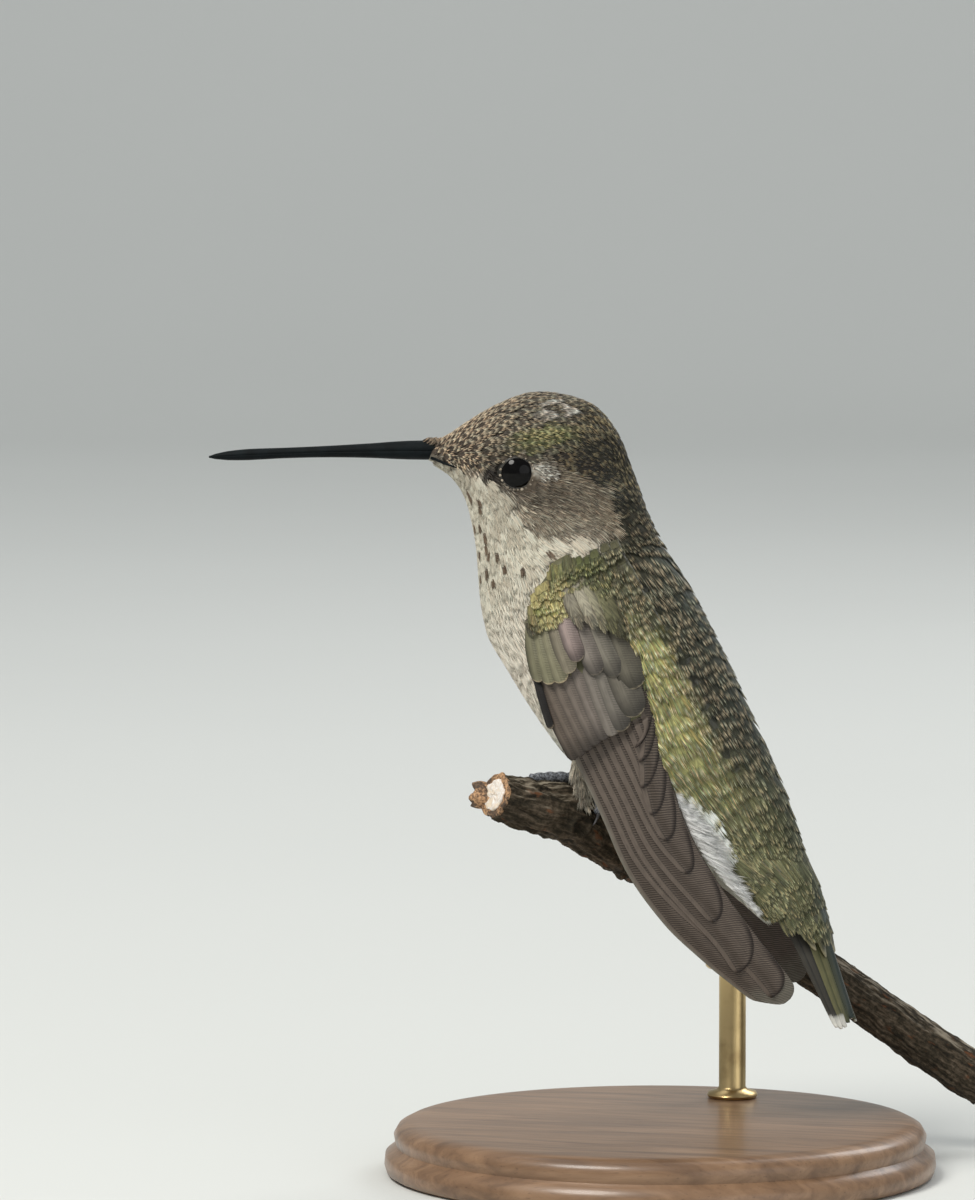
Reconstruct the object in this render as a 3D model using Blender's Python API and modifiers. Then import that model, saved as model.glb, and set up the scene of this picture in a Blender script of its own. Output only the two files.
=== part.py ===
"""Hummingbird, a still life-size model on a cut length of twig and a plain display stand.

Metres, +Z up. The origin is the centre of the underside of the stand's base. The bird's body has
its mirror plane at Y = 0 and faces -X, its left side is at -Y, and its head is turned a little to
its left. Sizes in the tables are millimetres.
"""
import math

import bmesh
import bpy
from mathutils import Matrix, Vector

MM = 0.001
GAP = 0.3                   # clearance between pieces that touch
BILL_SEAM = 0.08            # between the upper and the lower bill
PARTING = 0.35              # thin cut between two lengths of the body

# Body sections from the bill's base to the tail coverts: upper point (X, Z), lower point (X, Z),
# half width, place of the widest level from -1 (low) to 1 (high), and the share of the head's turn.
BODY = (
    ((-22.3, 68.7), (-22.3, 66.9), 1.0, 0.0, 1.0),      # feathers at the bill's base
    ((-20.4, 69.6), (-21.1, 66.4), 2.2, -0.1, 1.0),
    ((-18.3, 71.0), (-20.0, 65.6), 3.3, -0.15, 1.0),    # lores
    ((-15.7, 72.5), (-19.1, 64.4), 4.3, -0.15, 1.0),
    ((-12.6, 73.6), (-18.5, 63.0), 4.9, -0.1, 1.0),     # eyes and crown
    ((-9.3, 73.4), (-18.1, 61.4), 5.3, -0.1, 1.0),
    ((-6.3, 72.2), (-17.8, 59.9), 5.4, -0.1, 1.0),
    ((-4.3, 69.7), (-17.6, 58.4), 5.4, -0.1, 1.0),      # nape and throat
    ((-3.2, 67.0), (-17.5, 57.0), 5.4, -0.1, 1.0),
    ((-2.2, 64.3), (-17.4, 55.5), 5.7, -0.1, 0.8),
    ((-1.4, 62.2), (-17.3, 53.9), 6.2, 0.0, 0.5),
    ((-0.4, 60.3), (-17.0, 52.0), 6.9, 0.05, 0.2),
    ((0.7, 58.5), (-16.5, 50.1), 7.4, 0.1, 0.0),        # shoulders and breast
    ((2.7, 55.4), (-14.7, 47.3), 7.9, 0.1, 0.0),
    ((4.8, 51.6), (-12.9, 44.5), 8.0, 0.1, 0.0),
    ((6.7, 47.9), (-10.9, 41.7), 7.9, 0.05, 0.0),
    ((8.5, 44.1), (-9.1, 39.5), 7.6, 0.0, 0.0),         # belly
    ((10.2, 40.4), (-6.8, 37.5), 7.0, 0.0, 0.0),
    ((11.9, 36.7), (-4.3, 35.0), 6.2, 0.0, 0.0),
    ((13.3, 32.7), (-0.6, 32.2), 5.4, 0.0, 0.0),        # vent
    ((14.3, 29.6), (3.4, 29.4), 4.9, 0.0, 0.0),
    ((15.0, 27.2), (7.3, 26.6), 4.5, 0.0, 0.0),
    ((15.5, 25.2), (10.3, 24.2), 4.1, 0.0, 0.0),        # tips of the tail coverts
)
BODY_SIDES = 18
RINGS_PER_SECTION = 1.5
HEAD_TURN = math.radians(16)
HEAD_PIVOT_X = -8.8
NECK_FROM, NECK_TO = 8.0, 11.0       # sections where the head and the neck end

EYE_AT = (-13.85, 3.42, 66.25)       # left and right at -Y and +Y, before the head's turn
EYE_RADIUS = 2.15
SOCKET_DEPTH = 0.25

# Bill: distance along it from its base, half height, half width
BILL = ((0.0, 0.95, 1.0), (2.0, 0.9, 0.95), (5.0, 0.72, 0.8), (9.0, 0.57, 0.66), (13.0, 0.52, 0.6),
        (16.5, 0.55, 0.6), (18.4, 0.45, 0.5), (19.6, 0.26, 0.3), (20.2, 0.09, 0.1))
BILL_BASE = (-22.6, 68.1)
BILL_DROOP = 0.6
BILL_SIDES = 12

# Wing: along its length from the shoulder, lower (leading) edge, upper edge, and the spread,
# which is how far its outer face stands from the body's mirror plane.
WING = ((-2.8, -0.6, 1.6, 7.0), (-0.9, -3.6, 4.6, 8.2), (1.6, -5.0, 5.0, 8.9), (5.8, -6.3, 4.4, 9.4),
        (9.5, -6.8, 3.6, 9.5), (14.2, -6.7, 2.4, 9.3), (20.0, -7.0, 0.3, 8.7), (26.0, -7.6, -0.8, 7.9),
        (32.2, -6.9, -0.7, 7.1), (37.6, -5.2, -0.3, 6.3), (41.9, -3.1, 0.7, 5.6), (44.2, 0.2, 0.6, 5.2))
SHOULDER = (-7.35, 55.55)            # X and Z of the wing's origin
WING_ALONG = Vector((0.488, 0.0, -0.873))
WING_ACROSS = Vector((0.873, 0.14, 0.488))
WING_CAMBER_RADIUS = 17.0
ARM_THICKNESS = (1.6, 0.9)           # half thickness of the folded arm at the shoulder and at its end
ARM_RINGS, ARM_SIDES = 9, 12
COVERTS_END = 14.1
PRIMARY_TIPS = ((44.2, 0.4), (43.3, -0.8), (39.0, -3.5), (33.8, -2.7), (28.7, -2.5), (25.1, -2.6),
                (22.4, -2.5), (19.8, -2.0), (17.6, -1.0), (16.2, -0.7))   # from P10 inwards
PRIMARY_PITCH = 0.85
TIP_CORNERS = (1.6, 2.8)             # rounding of a primary's tip, at its leading and trailing side
TIP_WIDTH = 0.24
PLATE = 0.5                          # thickness of a flight feather
PLATE_STEP = 0.12
PLATE_DEPTH = 1.6                    # how far the outermost primary lies under the arm's outer face
FLIGHT_ROOM = (-2.2, 0.1)            # the depths between which the primaries are given room
FAR_WING_LIFT = 1.2                  # the right wing is held this much higher

# Tail: base and tip of the ridge line (X, Z), and the arch over which the ten feathers fan
TAIL_BASE, TAIL_TIP = (13.0, 32.4), (18.7, 14.9)
TAIL_HALF_BREADTH = 3.9
TAIL_NARROWING = 0.75                # breadth at the base, as a share of the full breadth
TAIL_FULL_AT = 0.625                 # share of its length where the tail has its full breadth
TAIL_ARCH = (5.2, 0.9)                # depth of the arch at the base and at the tip
TAIL_STEP = math.radians(14.0)
TAIL_HALF_VANE = math.radians(16.0)
TAIL_ROOM_EDGE = math.radians(8.0)
TAIL_LENGTHS = (0.97, 0.985, 1.0, 1.0, 0.985)     # share of the tail, centre pair to outer pair

# Twig: centre line (X, Y, Z) and radius, from the cut end to the far end
TWIG = (((-13.8, -8.2, 36.2), 2.15), ((-11.6, -5.6, 35.2), 2.45), ((-8.2, -1.5, 33.8), 2.9),
        ((-5.7, 2.9, 31.3), 2.85), ((-4.6, 9.2, 28.9), 2.55), ((-2.4, 13.5, 27.0), 2.4),
        ((2.9, 16.6, 23.0), 2.3), ((9.4, 18.2, 18.5), 2.25), ((16.0, 19.5, 13.9), 2.25),
        ((21.6, 20.8, 9.9), 2.3), ((26.8, 22.0, 6.4), 2.3))
TWIG_SIDES = 14
TWIG_RINGS = 2                       # rings between two points of the centre line
KNOT_AT, KNOT_RADIUS = (-7.2, 0.0, 32.4), 2.0
STUB_FROM, STUB_TO = (-12.9, -6.6, 35.7), (-16.3, -6.9, 36.0)
STUB_RADII = (1.5, 1.05)

# Feet: where each stands along the twig (as a place in TWIG), and its toes: how far the toe runs
# along the twig, the angle it goes round it, and its thickness. The last one is the hind toe.
FEET = (("left", 2.0), ("right", 2.85))
TOES = ((-4.6, 38.0, 0.34), (-3.4, 78.0, 0.36), (-0.9, 92.0, 0.34), (0.4, -100.0, 0.34))
FOOT_ROLL = 12.0                     # degrees from straight up to where the toes meet
TOE_CLEARANCE = 0.3
TOE_ARCH = 0.35                      # how far a toe's root is lifted off the twig
TOE_TAPER = (1.15, 0.8)              # girth at the root, and where along the toe its claw begins
SHANK_RADIUS = 0.45
SHANK_FOOT = 0.75                    # height of the ankle over the twig
SHANK_RISE = (0.9, 0.0, 1.7)

# Leg puffs: centre and half sizes, then the lean towards -X at the foot
LEG_AT = {"left": (-7.2, -3.0, 38.6), "right": (-4.6, 3.4, 38.4)}
LEG_HALF = (1.35, 1.25, 3.0)

# Stand: the base's turned outline (radius, height), then the rod and its saddle
STAND_PROFILE = ((25.2, 0.0), (26.0, 0.8), (26.0, 2.0), (25.0, 2.7), (25.1, 3.9), (24.5, 4.6), (23.0, 5.0))
STAND_SIDES = 48
STAND_HEIGHT = STAND_PROFILE[-1][1]
ROD_AT, ROD_RADIUS = (2.9, 16.6), 1.3
ROD_SEAT = 1.5                       # the rod's lower end, in a blind hole in the base
ROD_CLEARANCE = 0.15
SADDLE_RADIUS, SADDLE_FROM, SADDLE_TO = 2.6, 17.6, 21.6


# ---------------------------------------------------------------- small helpers
def metres(point):
    return Vector(point) * MM


def catmull(a, b, c, d, t):
    """Smooth value between b and c."""
    return 0.5 * (2 * b + (c - a) * t + (2 * a - 5 * b + 4 * c - d) * t * t + (3 * b - a - 3 * c + d) * t ** 3)


def smooth_row(rows, place):
    """A row read between the rows of a table, place counting in rows."""
    last = len(rows) - 1
    place = min(max(place, 0.0), float(last))
    index = min(int(place), last - 1)
    picks = [rows[min(max(index + k, 0), last)] for k in (-1, 0, 1, 2)]
    return [catmull(*column, place - index) for column in zip(*picks)]


def place_of(keys, value):
    """Where a value lies in a rising list, counting in its entries."""
    for index in range(len(keys) - 1):
        if value <= keys[index + 1]:
            return index + max(0.0, (value - keys[index]) / (keys[index + 1] - keys[index]))
    return float(len(keys) - 1)


def collection(name):
    group = bpy.data.collections.new(name)
    bpy.context.scene.collection.children.link(group)
    return group


def finish_material(name, colour, roughness, metallic=0.0):
    material = bpy.data.materials.new(name)
    material.use_nodes = True
    shader = material.node_tree.nodes["Principled BSDF"]
    shader.inputs["Base Color"].default_value = (*colour, 1.0)
    shader.inputs["Roughness"].default_value = roughness
    shader.inputs["Metallic"].default_value = metallic
    return material


def add_object(name, mesh, group, material=None):
    obj = bpy.data.objects.new(name, mesh)
    group.objects.link(obj)
    if material:
        mesh.materials.append(material)
        mesh.shade_smooth()
        mesh.set_sharp_from_angle(angle=math.radians(40))
    else:
        obj.hide_render = True
        obj.display_type = "WIRE"
    return obj


def ring_loft(name, rings):
    """A closed mesh through rings of points in millimetres, capped at both ends."""
    bm = bmesh.new()
    loops = [[bm.verts.new(metres(point)) for point in ring] for ring in rings]
    for lower, upper in zip(loops, loops[1:]):
        for k in range(len(lower)):
            j = (k + 1) % len(lower)
            bm.faces.new((lower[k], lower[j], upper[j], upper[k]))
    bm.faces.new(loops[0])
    bm.faces.new(loops[-1])
    bmesh.ops.recalc_face_normals(bm, faces=bm.faces)
    mesh = bpy.data.meshes.new(name)
    bm.to_mesh(mesh)
    bm.free()
    return mesh


def settle(obj):
    """Replace an object's mesh by what its modifiers make of it."""
    graph = bpy.context.evaluated_depsgraph_get()
    mesh = bpy.data.meshes.new_from_object(obj.evaluated_get(graph))
    obj.modifiers.clear()
    obj.data = mesh
    return obj


def face_outwards(obj):
    """Turn the faces of a closed piece outwards."""
    bm = bmesh.new()
    bm.from_mesh(obj.data)
    bmesh.ops.recalc_face_normals(bm, faces=bm.faces)
    bm.to_mesh(obj.data)
    bm.free()
    return obj


def without_chips(obj):
    """Keep only the largest connected body of a piece that cuts have chipped."""
    bm = bmesh.new()
    bm.from_mesh(obj.data)
    unseen, bodies = set(bm.verts), []
    while unseen:
        body, edge = set(), [unseen.pop()]
        while edge:
            vert = edge.pop()
            body.add(vert)
            for link in vert.link_edges:
                other = link.other_vert(vert)
                if other in unseen:
                    unseen.remove(other)
                    edge.append(other)
        bodies.append(body)
    bodies.sort(key=len)
    bmesh.ops.delete(bm, geom=[vert for body in bodies[:-1] for vert in body], context="VERTS")
    bm.to_mesh(obj.data)
    bm.free()
    return obj


def boolean(obj, others, operation):
    """Join to, or cut from, an object the others, one after another."""
    for other in others:
        modifier = obj.modifiers.new(other.name, "BOOLEAN")
        modifier.operation = operation
        modifier.object = other
    settle(obj)
    if operation == "UNION":
        for other in others:
            bpy.data.objects.remove(other)
    return obj


def sphere(name, centre, radii, group, segments=16):
    bm = bmesh.new()
    bmesh.ops.create_uvsphere(bm, u_segments=segments, v_segments=segments // 2, radius=1.0)
    shape = Matrix.Translation(metres(centre)) @ Matrix.Diagonal((*metres(radii), 1.0))
    bmesh.ops.transform(bm, matrix=shape, verts=bm.verts)
    mesh = bpy.data.meshes.new(name)
    bm.to_mesh(mesh)
    bm.free()
    return add_object(name, mesh, group)


def cylinder(name, at, radius, low, high, group, segments=32):
    bm = bmesh.new()
    bmesh.ops.create_cone(bm, cap_ends=True, segments=segments, radius1=radius * MM, radius2=radius * MM,
                          depth=(high - low) * MM)
    bmesh.ops.translate(bm, verts=bm.verts, vec=metres((at[0], at[1], (low + high) / 2)))
    mesh = bpy.data.meshes.new(name)
    bm.to_mesh(mesh)
    bm.free()
    return add_object(name, mesh, group)


def tube(name, points, radii, group, sides=8):
    """A round bar along points, with its own radius at each."""
    rings = []
    side = Vector((0.0, 0.0, 1.0))
    for index, (point, radius) in enumerate(zip(points, radii)):
        ahead = (Vector(points[min(index + 1, len(points) - 1)]) - Vector(points[max(index - 1, 0)])).normalized()
        side = (side - ahead * side.dot(ahead)).normalized()
        other = ahead.cross(side)
        rings.append([Vector(point) + (side * math.cos(turn) + other * math.sin(turn)) * radius
                      for turn in (2 * math.pi * k / sides for k in range(sides))])
    return add_object(name, ring_loft(name, rings), group)


def dress(obj, material, group):
    """Give a finished piece its material and its place in the model's collection."""
    for old in list(obj.users_collection):
        old.objects.unlink(obj)
    group.objects.link(obj)
    obj.hide_render = False
    obj.display_type = "TEXTURED"
    obj.data.materials.clear()
    obj.data.materials.append(material)
    obj.data.shade_smooth()
    obj.data.set_sharp_from_angle(angle=math.radians(40))
    return obj


# ---------------------------------------------------------------- the body
def turned(point, share):
    """A point of the head or neck after the head's turn about the upright neck axis."""
    angle = HEAD_TURN * share
    x, y = point[0] - HEAD_PIVOT_X, point[1]
    return Vector((HEAD_PIVOT_X + x * math.cos(angle) - y * math.sin(angle),
                   x * math.sin(angle) + y * math.cos(angle), point[2]))


BODY_ROWS = [(*upper, *lower, half, level, turn) for upper, lower, half, level, turn in BODY]


def body_ring(place, grow=0.0):
    ux, uz, lx, lz, half, level, turn = smooth_row(BODY_ROWS, place)
    upper, lower = Vector((ux, 0.0, uz)), Vector((lx, 0.0, lz))
    middle, up = (upper + lower) / 2, (upper - lower) / 2
    up *= 1 + grow / up.length
    ring = []
    for k in range(BODY_SIDES):
        angle = 2 * math.pi * k / BODY_SIDES
        height = math.cos(angle) + 0.5 * level * math.sin(angle) ** 2
        ring.append(turned(middle + up * height + Vector((0, (half + grow) * math.sin(angle), 0)), turn))
    return ring


def body_length(name, start, end, group):
    count = max(2, round((end - start) * RINGS_PER_SECTION))
    rings = [body_ring(start + (end - start) * k / count) for k in range(count + 1)]
    return add_object(name, ring_loft(name, rings), group)


def eye(name, side, radius, group):
    x, y, z = EYE_AT
    return sphere(name, turned((x, side * y, z), 1.0), (radius, radius, radius), group)


def bill_half(name, lower, group):
    """Upper or lower bill: half of an oval that tapers and droops a little to its tip."""
    length = BILL[-1][0]
    rings = []
    for along, half_height, half_width in BILL:
        middle = BILL_BASE[1] - BILL_DROOP * (along / length) ** 2
        ring = []
        for k in range(BILL_SIDES + 1):
            angle = math.pi * k / BILL_SIDES
            lift = half_height * math.sin(angle) + BILL_SEAM / 2
            if lower:
                lift = -0.9 * lift
            ring.append(turned((BILL_BASE[0] - along, half_width * math.cos(angle), middle + lift), 1.0))
        rings.append(ring)
    return add_object(name, ring_loft(name, rings), group)


# ---------------------------------------------------------------- the wings
WING_KEYS = [row[0] for row in WING]


def wing_row(along):
    return smooth_row(WING, place_of(WING_KEYS, along))


def wing_point(along, across, out, side, lift=0.0):
    """A point of a wing: along it, across it, and out from its outer face. side is -1 for left."""
    _, low, high, spread = wing_row(along)
    bow = (across - (low + high) / 2) ** 2 / (2 * WING_CAMBER_RADIUS)
    flat = WING_ALONG * (along - lift) + WING_ACROSS * across
    return Vector((SHOULDER[0] + flat.x, side * (spread - flat.y - bow + out), SHOULDER[1] + flat.z))


def wing_arm(name, side, group, grow=0.0):
    """The folded arm with its coverts: a long lens, thick at the shoulder."""
    lift = FAR_WING_LIFT if side > 0 else 0.0
    first, last = WING_KEYS[0] - grow, COVERTS_END + grow
    rings = []
    for k in range(ARM_RINGS):
        share = k / (ARM_RINGS - 1)
        along = first + (last - first) * share
        _, low, high, _ = wing_row(along)
        middle, half = (low + high) / 2, (high - low) / 2 + grow
        thick = ARM_THICKNESS[0] + (ARM_THICKNESS[1] - ARM_THICKNESS[0]) * share + grow
        rings.append([wing_point(along, middle + half * math.cos(angle), thick * (math.sin(angle) - 1) + grow, side, lift)
                      for angle in (2 * math.pi * j / ARM_SIDES for j in range(ARM_SIDES))])
    return add_object(name, ring_loft(name, rings), group)


def primary(name, index, side, group):
    """One flight feather as an open sheet, from under the coverts to its tip, then thickened."""
    tip_along, tip_across = PRIMARY_TIPS[index]
    start = COVERTS_END + GAP
    reach = tip_along - start
    rows = 3 + round(reach / 6)
    lift = FAR_WING_LIFT if side > 0 else 0.0
    out = PLATE_STEP * index - PLATE_DEPTH
    bm = bmesh.new()
    grid = []
    for k in range(rows + 1):
        along = start + reach * (1 - (1 - k / rows) ** 1.5)
        _, low, high, _ = wing_row(along)
        _, low_tip, _, _ = wing_row(tip_along)
        share = (along - start) / reach
        low += PRIMARY_PITCH * index * (1 - share ** 2) + max(0.0, tip_across - low_tip - 0.8) * share ** 2
        round_low, round_high = (math.sqrt(max(0.0, 1 - max(0.0, 1 - (tip_along - along) / corner) ** 2))
                                 for corner in TIP_CORNERS)
        low = tip_across - TIP_WIDTH / 2 + (low - tip_across) * round_low
        high = tip_across + TIP_WIDTH / 2 + (high - tip_across) * round_high
        grid.append([bm.verts.new(wing_point(along, low + (high - low) * j / 2, out, side, lift) * MM)
                     for j in range(3)])
    for lower, upper in zip(grid, grid[1:]):
        for j in range(2):
            bm.faces.new((lower[j], lower[j + 1], upper[j + 1], upper[j]))
    bmesh.ops.recalc_face_normals(bm, faces=bm.faces)
    mesh = bpy.data.meshes.new(name)
    bm.to_mesh(mesh)
    bm.free()
    obj = add_object(name, mesh, group)
    wall = obj.modifiers.new("Thickness", "SOLIDIFY")
    wall.thickness = PLATE * MM
    wall.offset = 0.0
    return face_outwards(settle(obj))


def flight_feathers(name, side, group):
    blades = [primary(f"{name}_{index}", index, side, group) for index in range(len(PRIMARY_TIPS))]
    joined = boolean(blades[0], blades[1:], "UNION")
    joined.name = name
    return joined


def flight_room(name, side, group):
    """The room that the folded flight feathers take, with clearance all round."""
    lift = FAR_WING_LIFT if side > 0 else 0.0
    rings = []
    for k in range(8):
        along = COVERTS_END - GAP + (WING_KEYS[-1] - COVERTS_END + 2 * GAP) * k / 7
        _, low, high, _ = wing_row(along)
        low, high = low - 2 * GAP, high + 2 * GAP
        ring = []
        for out in FLIGHT_ROOM:
            steps = range(5) if out < 0 else reversed(range(5))
            ring += [wing_point(along, low + (high - low) * j / 4, out, side, lift) for j in steps]
        rings.append(ring)
    return add_object(name, ring_loft(name, rings), group)


# ---------------------------------------------------------------- the tail
def tail_point(share, angle, inward):
    base, tip = Vector((TAIL_BASE[0], 0, TAIL_BASE[1])), Vector((TAIL_TIP[0], 0, TAIL_TIP[1]))
    ridge = base.lerp(tip, share)
    along = (tip - base).normalized()
    below = Vector((along.z, 0, -along.x))
    breadth = TAIL_HALF_BREADTH * (TAIL_NARROWING + (1 - TAIL_NARROWING) * min(1.0, share / TAIL_FULL_AT))
    depth = TAIL_ARCH[0] + (TAIL_ARCH[1] - TAIL_ARCH[0]) * share
    out = Vector((depth * math.sin(angle), breadth * math.cos(angle))).normalized()
    across = breadth * math.sin(angle) - inward * out.x
    return ridge + below * (depth * (1 - math.cos(angle)) + inward * out.y) + Vector((0, across, 0))


def tail_feather(name, index, side, group):
    centre = side * (index + 0.35) * TAIL_STEP
    length = TAIL_LENGTHS[index]
    rows = 4
    bm = bmesh.new()
    grid = []
    for k in range(rows + 1):
        share = length * (1 - (1 - k / rows) ** 1.5)
        rounding = math.sqrt(max(0.0, 1 - max(0.0, 1 - (length - share) / 0.13) ** 2))
        half = TAIL_HALF_VANE * max(0.12, rounding)
        grid.append([bm.verts.new(tail_point(share, centre + half * j, PLATE_STEP * index) * MM)
                     for j in (-1, 0, 1)])
    for lower, upper in zip(grid, grid[1:]):
        for j in range(2):
            bm.faces.new((lower[j], lower[j + 1], upper[j + 1], upper[j]))
    bmesh.ops.recalc_face_normals(bm, faces=bm.faces)
    mesh = bpy.data.meshes.new(name)
    bm.to_mesh(mesh)
    bm.free()
    obj = add_object(name, mesh, group)
    wall = obj.modifiers.new("Thickness", "SOLIDIFY")
    wall.thickness = PLATE * 1.2 * MM
    wall.offset = 0.0
    return face_outwards(settle(obj))


def tail_feathers(name, group):
    blades = [tail_feather(f"{name}_{index}_{side}", index, side, group)
              for index in range(len(TAIL_LENGTHS)) for side in (-1, 1)]
    joined = boolean(blades[0], blades[1:], "UNION")
    joined.name = name
    return joined


def tail_room(name, group):
    """The room that the tail's base takes inside the coverts."""
    reach = TAIL_STEP * (len(TAIL_LENGTHS) - 0.65) + TAIL_HALF_VANE + TAIL_ROOM_EDGE
    rings = []
    for share in (-0.03, 0.2, 0.4, 0.6, 0.8):
        ring = []
        for inward in (1.3, -0.65):
            steps = range(9) if inward > 0 else reversed(range(9))
            ring += [tail_point(share, reach * (j / 4 - 1), inward) for j in steps]
        rings.append(ring)
    return add_object(name, ring_loft(name, rings), group)


# ---------------------------------------------------------------- the twig and the feet
TWIG_ROWS = [(*point, radius) for point, radius in TWIG]


def twig_at(place):
    """Centre, radius and direction of the twig at a place counting in its points."""
    x, y, z, radius = smooth_row(TWIG_ROWS, place)
    after, before = smooth_row(TWIG_ROWS, place + 0.05), smooth_row(TWIG_ROWS, place - 0.05)
    ahead = (Vector(after[:3]) - Vector(before[:3])).normalized()
    return Vector((x, y, z)), radius, ahead


def twig_bar(name, group, grow=0.0):
    count = (len(TWIG) - 1) * TWIG_RINGS
    places = [k / TWIG_RINGS for k in range(count + 1)]
    points = [twig_at(place)[0] for place in places]
    radii = [twig_at(place)[1] + grow for place in places]
    return tube(name, points, radii, group, TWIG_SIDES)


def twig(name, group):
    bar = twig_bar(name, group)
    knot = sphere("Knot", KNOT_AT, (KNOT_RADIUS,) * 3, group, 12)
    stub = tube("Stub", [Vector(STUB_FROM), Vector(STUB_TO)], STUB_RADII, group, 10)
    return boolean(bar, [knot, stub], "UNION")


def round_twig(place, shift, degrees, out):
    """A point round the twig: an angle from straight up, towards the bird's front if positive."""
    centre, radius, ahead = twig_at(place)
    up = (Vector((0, 0, 1)) - ahead * ahead.z).normalized()
    front = ahead.cross(up)
    if front.x > 0:
        front = -front
    angle = math.radians(degrees)
    return centre + ahead * shift + (up * math.cos(angle) + front * math.sin(angle)) * (radius + out)


def foot(name, place, group, grow=0.0):
    """Shank and four toes that grip the twig, each toe ending in a curved claw."""
    pieces = []
    for number, (run, sweep, thick) in enumerate(TOES):
        points, radii = [], []
        for k in range(6):
            share = k / 5
            out = TOE_CLEARANCE + thick + TOE_ARCH * (1 - share) * (1 if k else 1.4)
            points.append(round_twig(place, run * share, FOOT_ROLL + (sweep - FOOT_ROLL) * share, out))
            girth = TOE_TAPER[0] - TOE_ARCH * share if share < TOE_TAPER[1] else 1.42 - share
            radii.append(thick * girth + grow)
        pieces.append(tube(f"{name}_toe_{number}", points, radii, group, 6))
    base = round_twig(place, 0.0, FOOT_ROLL, TOE_CLEARANCE + SHANK_FOOT)
    top = base + Vector(SHANK_RISE)
    shank = tube(f"{name}_shank", [base, base.lerp(top, 0.5), top], [SHANK_RADIUS + grow] * 3, group, 8)
    joined = boolean(shank, pieces, "UNION")
    joined.name = name
    return joined


def leg(name, which, group, grow=0.0):
    return sphere(name, LEG_AT[which], [half + grow for half in LEG_HALF], group, 14)


# ---------------------------------------------------------------- the stand
def stand_base(name, group):
    turns = [2 * math.pi * k / STAND_SIDES for k in range(STAND_SIDES)]
    rings = [[Vector((radius * math.cos(turn), radius * math.sin(turn), height)) for turn in turns]
             for radius, height in STAND_PROFILE]
    return add_object(name, ring_loft(name, rings), group)


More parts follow.
